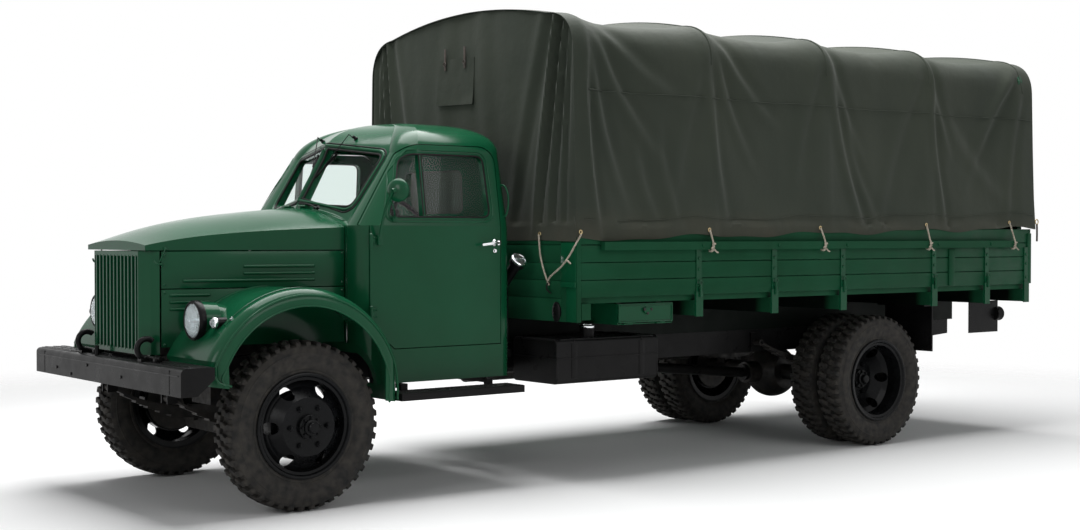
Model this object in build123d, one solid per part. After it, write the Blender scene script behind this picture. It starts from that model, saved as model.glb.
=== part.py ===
from build123d import *
from math import cos, degrees, pi, sin
import os

# Military cargo truck with a wooden body and a canvas canopy, in millimetres.
# Stations along X are measured from the front axle, forward positive, while the truck is built.
# Y is to the left, Z is up from the ground. export_node shifts everything so that the origin is
# under the middle of the whole truck.

# Overall
wheelbase = 4520
front_end = 771
rear_end = -6215
origin_station = (front_end + rear_end) / 2
sheet = 8
seam = 5
running_gap = 0.3

# Tyres and wheels
tyre_radius = 460
tyre_width = 205
lug_count = 18
lug_height = 25
lug_share = 0.24
groove_share = 0.20
shoulder_slope = (22, 26)
bead_sides = 16
sidewall_radius = 352
front_track_half = 795
rear_track_half = 825
bead_radius = 256
flange_radius = 287
flange_offset = 89
rim_wall = 8
disc_dish = 126
disc_wall = 8
disc_face_radius = 158
disc_knee = (214, 62)
hand_hole_radius = 34
hand_hole_circle = 204
hand_hole_count = 6
hub_radius = 62
drum_radius = 188
drum_depth = 80
spindle_radius = 28
hub_cap_height = 24

# Front axle and steering
kingpin_half = 690
kingpin_radius = 15
axle_eye_radius = 34
axle_eye_height = 76
beam_depth = 70
beam_width = 56
beam_drop = 100
track_arm = 170
track_rod_radius = 14
ball_radius = 10

# Frame
rail_outer = 435
rail_flange = 65
rail_bottom = 655
rail_depth = 160
rail_wall = 9
rail_front = 585
rail_rear = -6080
rail_taper = 700
rail_rise = 50
cross_member_stations = (480, -1150, -1620, -2700, -3750, -5350, -6040)
cross_member_width = 80
cross_member_depth = 110

# Springs
spring_width = 64
leaf_thickness = 11
leaf_count = 6
front_spring_half = 560
front_spring_camber = 150
rear_spring_half = 640
rear_spring_camber = 140
rear_spring_y = 480
spring_eye_radius = 22
spring_pin_radius = 11
hanger_wall = 9

# Bumper and tow hooks
bumper_half = 1000
bumper_bottom = 669
bumper_height = 143
bumper_depth = 186
bumper_wall = 8
bumper_edge_radius = 26
hook_y = 410
hook_ring_radius = 52
hook_bar_radius = 16

# Bonnet, grille and cowl
bonnet_front = 690
bonnet_rear = -425
bonnet_edge = 1403
bonnet_sheet = 12
bonnet_hinge_x = bonnet_rear - 3
bonnet_hinge_z = 1656
bonnet_hinge_radius = 8
bonnet_knuckles = (80, 110)
side_front = 616
side_front_half = 410
side_rear_half = 582
grille_bottom = 842
grille_slat_count = 12
grille_slat_width = 14
grille_slat_depth = 26
grille_half = 300
grille_frame = 26

# Front fenders
arch_x = 20
arch_z = 590
arch_outer_radius = 612
arch_lip = 92
fender_outer = 958
fender_edge_radius = 70
fender_front_x = 579
fender_tip_z = 705
fender_rear_x = -556
fender_rear_z = 560

# Lamps
headlamp_x = 505
headlamp_y = 640
headlamp_z = 1035
headlamp_radius = 98
headlamp_pod = 300
lamp_rim = 6
side_lamp_x = 492
side_lamp_y = 806
side_lamp_z = 1028
side_lamp_radius = 28

# Cab
cab_half = 770
cab_front = -431
cab_rear = -1480
cab_bottom = 645
cab_wall = 40
belt = 1540
header = 1965
roof_top = 2165
floor_top = 836
floor_bottom = 815.5
door_front = -481
door_rear = -1387
door_bottom = 842
door_top = 2008
door_heel = -642
fender_clear = 975
glass = 5
hinge_y = cab_half + 16
hinge_x = door_front + 4
hinge_barrel = 9
mirror_y = 945
mirror_z = 1734
mirror_radius = 62
handle_z = 1440

# Cargo body
bed_front = -1680
bed_rear = -6145
bed_half = 1135
board_wall = 30
board_bottom = 1112
board_top = 1532
floor_plank = 35
plank_count = 14
bearer_stations = (-1750, -2663, -3345, -4018, -5000, -5620, -6110)
bearer_width = 70
bearer_depth = 96
sill_half = 402
sill_width = 60
front_board_low = 968
tailgate_wall = 40
tailgate_hinge_x = -6204
tailgate_hinges = (-800, -270, 270, 800)
hinge_strap = 60
tailgate_hinge_z = 1104
rail_bar = 50
side_rail_z = 1395
side_rail_front = -1856
side_rail_rear = -5955
hoop_stations = (-1742, -2780, -3860, -4950, -6080)
hoop_width = 50
hoop_strip = 22
hoop_half = bed_half - board_wall - 4
canopy_wall = 10
canopy_hem = 1458
canopy_top = 2925
canopy_side_top = 2560
canopy_overlap = 15
canopy_lean = 26
canopy_half_bottom = bed_half + canopy_overlap
canopy_half_top = canopy_half_bottom - canopy_lean
canopy_corner = (canopy_half_top - 71, canopy_top - 167)
canopy_shoulder = (canopy_half_top - 264, canopy_top - 93)
canopy_front = -1664
curtain_x = -6120
curtain_bottom = 1290


def block(x, y, z):
    """A box from three (low, high) pairs."""
    size = (x[1] - x[0], y[1] - y[0], z[1] - z[0])
    middle = ((x[0] + x[1]) / 2, (y[0] + y[1]) / 2, (z[0] + z[1]) / 2)
    return Pos(*middle) * Box(*size)


def rod(start, end, radius):
    """A round bar between two points."""
    axis = Vector(*end) - Vector(*start)
    middle = (Vector(*start) + Vector(*end)) * 0.5
    return Plane(origin=middle, z_dir=axis) * Cylinder(radius, axis.length)


def side_plate(points, y):
    """A plate whose outline is drawn in X and Z, between two values of Y."""
    face = make_face(Polyline(*[(px, 0, pz) for px, pz in points], close=True))
    return Pos(0, y[0], 0) * extrude(face, y[1] - y[0], dir=(0, 1, 0))


def plan_plate(points, z):
    """A plate whose outline is drawn in X and Y, between two heights."""
    face = make_face(Polyline(*[(px, py, 0) for px, py in points], close=True))
    return Pos(0, 0, z[0]) * extrude(face, z[1] - z[0], dir=(0, 0, 1))


def turned(points):
    """A solid of revolution about Y from (radius, y) points, centred on the origin."""
    face = make_face(Polyline(*[(r, y, 0) for r, y in points], close=True))
    return revolve(face, Axis.Y, 360)


def both_sides(shape):
    """The shape and its mirror image across the truck, as one group of solids."""
    return Compound(children=[*shape.solids(), *mirror(shape, Plane.XZ).solids()])


def group(shapes):
    """Several shapes as one group of separate solids."""
    return Compound(children=[solid for shape in shapes for solid in shape.solids()])


def export_node(name, shape):
    """Write one sub-part, moved from the front axle's station to the truck's own origin."""
    moved = Pos(-origin_station, 0, 0) * shape
    export_step(moved, f"parts/{name}.step")


# Tyres and wheels

def ring_polygon(radius, count, y):
    """A regular polygon about the Y axis with a corner at the bottom."""
    corners = [(radius * cos(2 * pi * n / count - pi / 2), y, radius * sin(2 * pi * n / count - pi / 2))
               for n in range(count)]
    return make_face(Polyline(*corners, close=True))


def lug_section(turn):
    """The side view of one half of the tread, a lug and a groove by turns."""
    pitch = 2 * pi / lug_count
    tip = tyre_radius / cos(lug_share * pitch)
    groove = tyre_radius - lug_height
    corners = []
    for number in range(lug_count):
        angle = turn - pi / 2 + number * pitch
        for radius, share in ((tip, -lug_share), (tip, lug_share), (groove, 0.5 - groove_share),
                              (groove, 0.5 + groove_share)):
            corners.append((radius * cos(angle + share * pitch), 0, radius * sin(angle + share * pitch)))
    return make_face(Polyline(*corners, close=True))


def half_tyre(turn):
    """The half of a tyre on the positive side of Y, its shoulders sloped and its bead side hollowed."""
    half = tyre_width / 2
    tread = extrude(lug_section(turn), half, dir=(0, 1, 0))
    drop, width = shoulder_slope
    top = (tyre_radius + 4) / cos(pi / lug_count)
    turned_by = Rot(0, degrees(-turn) + 180 / lug_count, 0)
    barrel = [ring_polygon(top, lug_count, -1), ring_polygon(top, lug_count, half - width),
              ring_polygon(top - drop, lug_count, half)]
    tread &= turned_by * loft(barrel, ruled=True)
    bead_half = flange_offset - 11 - running_gap
    corner = 1 / cos(pi / bead_sides)
    dish = loft([ring_polygon((flange_radius + 4) * corner, bead_sides, bead_half),
                 ring_polygon(sidewall_radius * corner, bead_sides, half + 1)], ruled=True)
    bore = (bead_radius + running_gap) * corner
    return tread - dish - extrude(ring_polygon(bore, bead_sides, -1), tyre_width, dir=(0, 1, 0))


def tyre():
    """One tyre about the Y axis, the lugs of its two halves set half a pitch apart."""
    return half_tyre(0) + mirror(half_tyre(pi / lug_count), Plane.XZ)


def wheel(dish):
    """Rim and disc of one wheel about Y, the disc's mounting face at y = dish."""
    well = bead_radius - 8
    outer = [(flange_radius, flange_offset), (flange_radius, flange_offset - 6),
             (bead_radius, flange_offset - 11), (well, 34)]
    outer = outer + [(r, -y) for r, y in reversed(outer)]
    inner = [(r - rim_wall, y) for r, y in outer]
    rim = turned(outer + [(r, y) for r, y in reversed(inner)])
    side = 1 if dish > 0 else -1
    face = abs(dish)
    seat = well - rim_wall + 2
    cone = [(hub_radius - 6, face), (disc_face_radius, face), disc_knee, (seat, 40), (seat, 28),
            (disc_knee[0] - 8, disc_knee[1] - 8), (disc_face_radius - 5, face - disc_wall),
            (hub_radius - 6, face - disc_wall)]
    disc = turned([(r, side * y) for r, y in cone])
    for step in range(hand_hole_count):
        angle = 2 * pi * step / hand_hole_count
        hole = Pos(hand_hole_circle * cos(angle), 0, hand_hole_circle * sin(angle))
        disc -= hole * Rot(90, 0, 0) * Cylinder(hand_hole_radius, 3 * face)
    return rim + disc


def front_wheel():
    """Wheel, hub and brake drum of the left front corner, centred on the tyre."""
    face = disc_dish - disc_wall
    drum_back = kingpin_half + 76 - front_track_half
    bore_end = face + 8
    hub = turned([(spindle_radius + running_gap, drum_back + 4), (hub_radius + 20, drum_back + 4),
                  (hub_radius, face - 16), (112, face - 12), (112, face), (hub_radius - 6, face),
                  (hub_radius - 6, disc_dish + hub_cap_height - 8), (hub_radius - 16, disc_dish + hub_cap_height),
                  (0, disc_dish + hub_cap_height), (0, bore_end), (spindle_radius + running_gap, bore_end)])
    drum = turned([(hub_radius, drum_back + drum_depth - 10), (drum_radius - 10, drum_back + drum_depth - 10),
                   (drum_radius - 10, drum_back), (drum_radius, drum_back),
                   (drum_radius, drum_back + drum_depth), (hub_radius, drum_back + drum_depth)])
    return wheel(disc_dish) + hub + drum


def rear_wheels():
    """Twin wheels, hub and drum of the left rear corner, centred between the tyres."""
    inner = Pos(0, -disc_dish, 0) * wheel(disc_dish)
    outer = Pos(0, disc_dish, 0) * wheel(-disc_dish)
    drum_back = -170
    bore = axle_end_radius + running_gap
    hub = turned([(bore, drum_back + 6), (hub_radius + 24, drum_back + 6), (hub_radius + 18, -26),
                  (114, -20), (114, -disc_wall), (hub_radius - 6, -disc_wall), (hub_radius - 6, disc_wall + 6),
                  (66, disc_wall + 12), (66, 40), (44, 56), (0, 56), (0, -14), (bore, -14)])
    drum = turned([(hub_radius + 12, drum_back + drum_depth - 10), (drum_radius - 10, drum_back + drum_depth - 10),
                   (drum_radius - 10, drum_back), (drum_radius, drum_back),
                   (drum_radius, drum_back + drum_depth), (hub_radius + 12, drum_back + drum_depth)])
    return inner + outer + hub + drum


# Axles, steering and springs

axle_z = tyre_radius
eye_bottom = axle_z - axle_eye_height / 2
eye_top = axle_z + axle_eye_height / 2
beam_top = axle_z - beam_drop + beam_depth / 2
axle_tube_radius = 58
axle_end_radius = 44


def front_axle():
    """The forged beam that drops between the kingpins, with a spring seat on each side."""
    low = beam_top - beam_depth
    half = kingpin_half - axle_eye_radius + 10
    outline = [(half, eye_top), (half, eye_bottom), (half - 70, eye_bottom), (half - 150, low)]
    outline = outline + [(-y, z) for y, z in reversed(outline)]
    top = [(-half + 90, eye_top), (-half + 170, beam_top), (half - 170, beam_top), (half - 90, eye_top)]
    face = make_face(Polyline(*[(0, y, z) for y, z in outline + top], close=True))
    beam = extrude(face, beam_width / 2, dir=(1, 0, 0), both=True)
    for side in (-1, 1):
        beam += Pos(0, side * kingpin_half, axle_z) * Cylinder(axle_eye_radius, axle_eye_height)
        beam -= Pos(0, side * kingpin_half, axle_z) * Cylinder(kingpin_radius + running_gap, 2 * axle_eye_height)
        seat_y = side * (rail_outer - rail_flange / 2)
        beam += block((-55, 55), (seat_y - 38, seat_y + 38), (beam_top - 16, beam_top))
    return beam


ear_gap = 2
ear_height = 26
upright_inner = kingpin_half + 46
upright_outer = kingpin_half + 64
backing_wall = 5


def knuckle():
    """The left steering knuckle: forked ears, kingpin, spindle, backing plate and track arm."""
    low = eye_bottom - ear_gap - ear_height
    high = eye_top + ear_gap + ear_height
    body = block((-34, 34), (upright_inner, upright_outer), (low, high))
    for bottom in (low, eye_top + ear_gap):
        body += block((-30, 30), (kingpin_half, upright_inner + 4), (bottom, bottom + ear_height))
        body += Pos(0, kingpin_half, bottom + ear_height / 2) * Cylinder(30, ear_height)
    body += Pos(0, kingpin_half, axle_z) * Cylinder(kingpin_radius, high - low)
    plate_y = upright_outer + backing_wall / 2
    body += Pos(0, plate_y, axle_z) * Rot(90, 0, 0) * Cylinder(drum_radius - 14, backing_wall)
    spindle_end = front_track_half + disc_dish - disc_wall
    body += rod((0, upright_outer, axle_z), (0, spindle_end, axle_z), spindle_radius)
    arm = block((-track_arm, 0), (kingpin_half - 16, kingpin_half + 16), (low, low + 20))
    arm += Pos(-track_arm, kingpin_half, low + 10) * Cylinder(22, 20)
    arm -= Pos(-track_arm, kingpin_half, low + 10) * Cylinder(ball_radius + running_gap, 40)
    return body + arm


def track_rod():
    """The rod that joins the two track arms, with an upright stud at each end."""
    arm_low = eye_bottom - ear_gap - ear_height
    z = arm_low - 24
    rod_body = rod((-track_arm, -kingpin_half, z), (-track_arm, kingpin_half, z), track_rod_radius)
    for side in (-1, 1):
        rod_body += Pos(-track_arm, side * kingpin_half, z) * Cylinder(20, 36)
        rod_body += rod((-track_arm, side * kingpin_half, z), (-track_arm, side * kingpin_half, arm_low + 24),
                        ball_radius)
    return rod_body


def leaf_spring(half_length, camber, seat_z, y, x):
    """A stack of bowed leaves, longest on top, with an eye at each end of the main leaf."""
    stack_top = seat_z + leaf_count * leaf_thickness
    radius = (half_length ** 2 + camber ** 2) / (2 * camber)
    leaves = None
    for number in range(leaf_count):
        reach = half_length * (1 - 0.13 * number)
        top = stack_top - number * leaf_thickness
        rise = radius - (radius ** 2 - reach ** 2) ** 0.5
        low = top - leaf_thickness
        edge = [
            ThreePointArc((-reach, 0, top + rise), (0, 0, top), (reach, 0, top + rise)),
            Line((reach, 0, top + rise), (reach, 0, low + rise)),
            ThreePointArc((reach, 0, low + rise), (0, 0, low), (-reach, 0, low + rise)),
            Line((-reach, 0, low + rise), (-reach, 0, top + rise)),
        ]
        leaf = extrude(make_face(edge), spring_width / 2, dir=(0, 1, 0), both=True)
        leaves = leaf if leaves is None else leaves + leaf
    eye_z = stack_top + camber - leaf_thickness / 2
    for side in (-1, 1):
        place = Pos(side * half_length, 0, eye_z) * Rot(90, 0, 0)
        leaves += place * Cylinder(spring_eye_radius, spring_width)
        leaves -= place * Cylinder(spring_pin_radius, 2 * spring_width)
    leaves += block((-60, 60), (-spring_width / 2 - 6, spring_width / 2 + 6), (stack_top, stack_top + 14))
    return Pos(x, y, 0) * leaves, eye_z


front_spring_y = rail_outer - rail_flange / 2
front_spring, front_eye_z = leaf_spring(front_spring_half, front_spring_camber, beam_top, front_spring_y, 0)
rear_seat_z = axle_z + axle_tube_radius + 8
rear_spring, rear_eye_z = leaf_spring(rear_spring_half, rear_spring_camber, rear_seat_z, rear_spring_y, -wheelbase)


def front_hanger(x):
    """A bracket under the frame rail with the pin of one spring eye."""
    y = front_spring_y
    inner = spring_width / 2
    outer = inner + hanger_wall
    top = block((x - 30, x + 30), (y - outer, y + outer), (rail_bottom - 8, rail_bottom))
    for low, high in ((-outer, -inner), (inner, outer)):
        top += block((x - 30, x + 30), (y + low, y + high), (front_eye_z - 26, rail_bottom))
    return top + rod((x, y - outer, front_eye_z), (x, y + outer, front_eye_z), spring_pin_radius)


def rear_hanger(x):
    """A bracket on the outside of the frame rail with the pin of one spring eye."""
    inner = rear_spring_y - spring_width / 2
    outer = rear_spring_y + spring_width / 2 + hanger_wall
    low = min(rear_eye_z - 30, rail_bottom + 10)
    bracket = block((x - 40, x + 40), (rail_outer, inner), (low, rail_bottom + rail_depth - 20))
    return bracket + rod((x, inner, rear_eye_z), (x, outer, rear_eye_z), spring_pin_radius)


def rear_axle():
    """The housing with its round differential case, and the ends that carry the wheel hubs."""
    inboard = rear_track_half - 170 - 14
    tube = rod((-wheelbase, -inboard, axle_z), (-wheelbase, inboard, axle_z), axle_tube_radius)
    end = rear_track_half - 24
    tube += rod((-wheelbase, -end, axle_z), (-wheelbase, end, axle_z), axle_end_radius)
    case = Pos(-wheelbase, 0, axle_z) * Sphere(195)
    case &= block((-wheelbase - 240, -wheelbase + 240), (-150, 150), (axle_z - 240, axle_z + 240))
    nose = rod((-wheelbase, 0, axle_z), (-wheelbase + axle_nose, 0, axle_z), 78)
    housing = tube + case + nose
    for side in (-1, 1):
        plate_y = side * (inboard - 6)
        housing += Pos(-wheelbase, plate_y, axle_z) * Rot(90, 0, 0) * Cylinder(drum_radius - 14, 6)
        seat = side * rear_spring_y
        housing += block((-wheelbase - 60, -wheelbase + 60), (seat - 38, seat + 38), (axle_z + 30, rear_seat_z))
    return housing


# Frame and running gear

rail_top = rail_bottom + rail_depth
member_drop = 20
member_low = rail_top - member_drop - cross_member_depth
engine_half = 190
engine_x = (-330, 420)
engine_z = (640, 1180)
sump_x = (-260, 180)
sump_half = 120
sump_low = 520
bell_x = -520
bell_half = 170
gearbox_rear = -860
gearbox_half = 110
gearbox_z = 640
bearing_z = 600
shaft_radius = 36
axle_nose = 290
exhaust_y = -255
exhaust_z = 590
exhaust_port = (-200, 900)
exhaust_radius = 24
exhaust_end = -3900
silencer_x = (-2500, -1850)
silencer_radius = 85


def frame_rail():
    """The left rail: a pressed channel, open inwards, tapered down at its rear end."""
    outline = [(rail_front, rail_bottom), (rail_front, rail_top), (rail_rear, rail_top),
               (rail_rear, rail_bottom + rail_rise), (rail_rear + rail_taper, rail_bottom)]
    whole = side_plate(outline, (rail_outer - rail_flange, rail_outer))
    inner = [(rail_front + 1, rail_bottom + rail_wall), (rail_front + 1, rail_top - rail_wall),
             (rail_rear - 1, rail_top - rail_wall), (rail_rear - 1, rail_bottom + rail_rise + rail_wall),
             (rail_rear + rail_taper, rail_bottom + rail_wall)]
    channel = side_plate(inner, (rail_outer - rail_flange - 1, rail_outer - rail_wall))
    return whole - channel


def cross_member(x):
    """One channel between the rails, its ends against their webs."""
    half = rail_outer - rail_wall
    rise = max(0, (rail_rear + rail_taper - x + cross_member_width / 2) / rail_taper) * rail_rise
    low = max(member_low, rail_bottom + rail_wall + rise + 1)
    outer = block((x - cross_member_width / 2, x + cross_member_width / 2), (-half, half), (low, rail_top - member_drop))
    inner = block((x - cross_member_width / 2 + rail_wall, x + cross_member_width / 2 - rail_wall),
                  (-half - 1, half + 1), (low - 1, rail_top - member_drop - rail_wall))
    return outer - inner


def bumper():
    """A pressed channel with a rounded upper edge, a tread plate on top and tapered ends."""
    top = bumper_bottom + bumper_height
    back = front_end - bumper_depth
    profile = side_plate([(front_end, bumper_bottom), (front_end, top), (back, top), (back, top - 60),
                          (front_end - 90, bumper_bottom)], (-bumper_half, bumper_half))
    edges = profile.edges().filter_by(Axis.Y).group_by(Axis.X)[-1].sort_by(Axis.Z)
    profile = fillet(edges[-1], bumper_edge_radius)
    hollow = side_plate([(front_end - bumper_wall, bumper_bottom - 1), (front_end - bumper_wall, top - 30),
                         (front_end - 30, top - bumper_wall), (back - 1, top - bumper_wall),
                         (back - 1, bumper_bottom - 1)], (-bumper_half + bumper_wall, bumper_half - bumper_wall))
    body = profile - hollow
    for side in (-1, 1):
        y = sorted((side * (rail_outer - rail_flange), side * rail_outer))
        arm = block((rail_front, front_end - bumper_wall), y, (bumper_bottom + 8, bumper_bottom + 90))
        body += arm
    return body


def tow_hook():
    """A forged hook that stands on the bumper, curled back over itself."""
    top = bumper_bottom + bumper_height
    x = front_end - 78
    z = top + hook_ring_radius + hook_bar_radius
    arc = CenterArc((0, 0, 0), hook_ring_radius, -100, 230)
    path = Plane(origin=(x, hook_y, z), x_dir=(1, 0, 0), z_dir=(0, -1, 0)) * arc
    hook = sweep(Plane(origin=path @ 0, z_dir=path % 0) * Circle(hook_bar_radius), path)
    foot = block((x - 90, x + 40), (hook_y - 22, hook_y + 22), (top, top + 16))
    return hook + foot


def engine():
    """Engine and gearbox as plain blocks on the frame's centre line."""
    block_body = block(engine_x, (-engine_half, engine_half), engine_z)
    sump = block(sump_x, (-sump_half, sump_half), (sump_low, engine_z[0]))
    bell = block((bell_x, engine_x[0]), (-bell_half, bell_half), (gearbox_z - 40, gearbox_z + 160))
    gearbox = block((gearbox_rear, bell_x), (-gearbox_half, gearbox_half), (gearbox_z - 50, gearbox_z + 160))
    return block_body + sump + bell + gearbox


def propeller_shaft():
    """Two tubes with a centre bearing hung from a cross member."""
    bearing_x = cross_member_stations[3]
    nose_x = -wheelbase + axle_nose
    start = (gearbox_rear - 20, 0, gearbox_z)
    middle = (bearing_x, 0, bearing_z)
    end = (nose_x + 20, 0, axle_z)
    shaft = rod(start, middle, shaft_radius) + rod(middle, end, shaft_radius)
    shaft += Pos(*middle) * Rot(0, 90, 0) * Cylinder(shaft_radius + 26, 60)
    shaft += block((bearing_x - 25, bearing_x + 25), (-40, 40), (bearing_z, member_low))
    shaft += rod((gearbox_rear, 0, gearbox_z), (gearbox_rear - 30, 0, gearbox_z), shaft_radius + 24)
    shaft += rod((nose_x, 0, axle_z), (nose_x + 30, 0, axle_z), shaft_radius + 24)
    return shaft & block((nose_x, gearbox_rear), (-100, 100), (axle_z - 160, member_low))


def exhaust():
    """Pipe and silencer along the inside of the right frame rail."""
    port_x, port_z = exhaust_port
    front, rear = silencer_x[1], silencer_x[0]
    pipe = FilletPolyline((port_x, -engine_half, port_z), (port_x, exhaust_y, port_z),
                          (port_x, exhaust_y, exhaust_z), (front, exhaust_y, exhaust_z), radius=40)
    tube = sweep(Plane(origin=pipe @ 0, z_dir=pipe % 0) * Circle(exhaust_radius), pipe)
    silencer = rod((front, exhaust_y, exhaust_z), (rear, exhaust_y, exhaust_z), silencer_radius)
    tail = rod((rear, exhaust_y, exhaust_z), (exhaust_end, exhaust_y, exhaust_z), exhaust_radius)
    straps = [block((x - 15, x + 15), (exhaust_y - 12, exhaust_y + 12), (exhaust_z, member_low))
              for x in cross_member_stations[2:4]]
    return tube + silencer + tail + straps


# Bonnet, grille and fenders

# station, half width, height of the crown
bonnet_sections = [
    (bonnet_front, 392, 1456),
    (560, 420, 1506),
    (300, 462, 1570),
    (-60, 522, 1618),
    (bonnet_rear, side_rear_half, 1648),
]


def bonnet_face(x, half, crown, inset, low):
    """One section of the bonnet: upright sides, rounded shoulders and a bowed crown."""
    side = half - inset
    shoulder = bonnet_edge + 0.52 * (crown - bonnet_edge) - inset
    edge = [
        Line((x, -side, low), (x, -side, shoulder)),
        ThreePointArc((x, -side, shoulder), (x, 0, crown - inset), (x, side, shoulder)),
        Line((x, side, shoulder), (x, side, low)),
        Line((x, side, low), (x, -side, low)),
    ]
    return make_face(edge)


def bonnet():
    """The lid over the engine, a shell whose crown falls towards the front."""
    outer = loft([bonnet_face(x, half, crown, 0, bonnet_edge) for x, half, crown in bonnet_sections])
    inner_sections = list(bonnet_sections)
    inner_sections[0] = (bonnet_front - bonnet_sheet, *bonnet_sections[0][1:])
    inner_sections[-1] = (bonnet_rear - 1, *bonnet_sections[-1][1:])
    inner = loft([bonnet_face(x, half, crown, bonnet_sheet, bonnet_edge - 1) for x, half, crown in inner_sections])
    return outer - inner + hinge_knuckles(bonnet_knuckles, 24)


def hinge_knuckles(y, reach):
    """A barrel on the bonnet's hinge line on each side of the middle, with a web of signed reach."""
    x = sorted((bonnet_hinge_x, bonnet_hinge_x + reach))
    knuckle_body = rod((bonnet_hinge_x, y[0], bonnet_hinge_z), (bonnet_hinge_x, y[1], bonnet_hinge_z),
                       bonnet_hinge_radius)
    knuckle_body += block(x, y, (bonnet_hinge_z - 18, bonnet_hinge_z))
    return both_sides(knuckle_body)


def side_line(x):
    """Half width of the engine bay at a station."""
    share = (side_front - x) / (side_front - bonnet_rear)
    return side_front_half + share * (side_rear_half - side_front_half)


def bonnet_side():
    """The left side of the engine bay, a plate with pressed ribs under the bonnet's edge."""
    top = bonnet_edge - seam
    low = 880
    start = side_front - seam
    end = bonnet_rear
    outline = [(start, side_line(start)), (end, side_line(end)), (end, side_line(end) - sheet),
               (start, side_line(start) - sheet)]
    plate = plan_plate(outline, (low, top))
    # start station, end station, height
    ribs = [(200, -390, 1355), (200, -390, 1325), (480, -390, 1290), (560, 360, 1185), (560, 360, 1155)]
    for first, last, z in ribs:
        bar = plan_plate([(first, side_line(first) - 2), (last, side_line(last) - 2),
                          (last, side_line(last) + 5), (first, side_line(first) + 5)], (z, z + 10))
        plate += bar
    return plate


def grille_shell():
    """The upright shell round the radiator, with a row of upright slats across its mouth."""
    top = bonnet_edge - seam
    outline = [(bonnet_front, grille_half), (bonnet_front - 40, grille_half + 70), (side_front, side_front_half)]
    ring = outline + [(x, -y) for x, y in reversed(outline)]
    outer = plan_plate(ring, (grille_bottom, top))
    inner_line = [(bonnet_front - 12, grille_half - 2), (bonnet_front - 50, grille_half + 60),
                  (side_front - 1, side_front_half - sheet)]
    inner_ring = inner_line + [(x, -y) for x, y in reversed(inner_line)]
    shell = outer - plan_plate(inner_ring, (grille_bottom + 12, top - 12))
    mouth = (grille_bottom + grille_frame, top - grille_frame)
    shell -= block((bonnet_front - 20, bonnet_front + 20), (-grille_half + 8, grille_half - 8), mouth)
    pitch = 2 * (grille_half - 8) / grille_slat_count
    for number in range(grille_slat_count):
        y = -grille_half + 8 + pitch * (number + 0.5)
        slat = block((bonnet_front - grille_slat_depth, bonnet_front + 2),
                     (y - grille_slat_width / 2, y + grille_slat_width / 2), (mouth[0] - 6, mouth[1] + 6))
        shell += slat
    for side in (-1, 1):
        y = sorted((side * (grille_half + 30), side * (grille_half + 62)))
        shell += block((side_front + 8, side_front + 36), y, (bumper_bottom + bumper_height, grille_bottom + 6))
    return shell


def radiator():
    """The core behind the slats, on a saddle over the front cross member."""
    saddle_half = rail_outer - 30
    saddle_top = rail_top + 20
    core = block((bonnet_front - 190, bonnet_front - 100), (-grille_half, grille_half), (saddle_top, bonnet_edge - 63))
    return core + block((bonnet_front - 210, bonnet_front - 90), (-saddle_half, saddle_half), (rail_top, saddle_top))


def arch_face(drop, low=0):
    """The side view of a fender, moved inwards by drop and drawn down past its ends by low."""
    radius = arch_outer_radius - drop
    front_x = fender_front_x - drop
    rear_x = fender_rear_x + drop
    front_z = arch_z + (radius ** 2 - (front_x - arch_x) ** 2) ** 0.5
    rear_z = arch_z + (radius ** 2 - (rear_x - arch_x) ** 2) ** 0.5
    tip = (front_x - 16, 0, fender_tip_z - low)
    heel = (rear_x, 0, fender_rear_z - low)
    edge = [
        Line(tip, (front_x, 0, front_z)),
        ThreePointArc((front_x, 0, front_z), (arch_x, 0, arch_z + radius), (rear_x, 0, rear_z)),
        Line((rear_x, 0, rear_z), heel),
        Line(heel, tip),
    ]
    return make_face(edge)


def arch_solid(drop, y, low=0):
    """The filled fender arch between two values of Y."""
    return Pos(0, y[0], 0) * extrude(arch_face(drop, low), y[1] - y[0], dir=(0, 1, 0))


def fender():
    """The left front fender: a domed arch with a rounded shoulder, a lip and the headlamp pod."""
    inner_y = side_front_half - 30
    outer = arch_solid(0, (inner_y, fender_outer))
    shoulder = outer.faces().sort_by(Axis.Y)[-1].edges().sort_by(Axis.Z)[1:]
    outer = fillet(shoulder, fender_edge_radius)
    pod_profile = [(0, 0), (0, headlamp_radius), (-90, headlamp_radius - 6), (-200, headlamp_radius - 34),
                   (-headlamp_pod, 20), (-headlamp_pod, 0)]
    pod_face = make_face(Polyline(*[(px, pr, 0) for px, pr in pod_profile], close=True))
    pod = Pos(headlamp_x, headlamp_y, headlamp_z) * revolve(pod_face, Axis.X, 360)
    hollow = arch_solid(sheet, (inner_y - 1, fender_outer - sheet), 100)
    inner_shoulder = hollow.faces().sort_by(Axis.Y)[-1].edges().sort_by(Axis.Z)[1:]
    hollow = fillet(inner_shoulder, fender_edge_radius - sheet)
    opening = arch_solid(arch_lip, (fender_outer - 120, fender_outer + 10), 300)
    bay = [(side_front + 60, side_front_half), (side_front, side_front_half),
           (bonnet_rear, side_rear_half), (bonnet_rear - 160, side_rear_half + 26)]
    bay = bay + [(bonnet_rear - 160, 0), (side_front + 60, 0)]
    frame_room = block((fender_rear_x - 50, side_front + 60), (0, rail_outer + 5), (0, rail_top + 5))
    lamp_room = rod((headlamp_x, headlamp_y, headlamp_z), (headlamp_x + 100, headlamp_y, headlamp_z),
                    headlamp_radius + lamp_rim + running_gap)
    return (outer + pod) - hollow - opening - plan_plate(bay, (400, 1500)) - frame_room - lamp_room - cab_outer


def headlamp():
    """The black rim in front of the pod, open for its lens."""
    rim = rod((headlamp_x, headlamp_y, headlamp_z), (headlamp_x + 26, headlamp_y, headlamp_z),
              headlamp_radius + lamp_rim)
    return rim - rod((headlamp_x + 10, headlamp_y, headlamp_z), (headlamp_x + 30, headlamp_y, headlamp_z),
                     headlamp_radius - 8)


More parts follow.
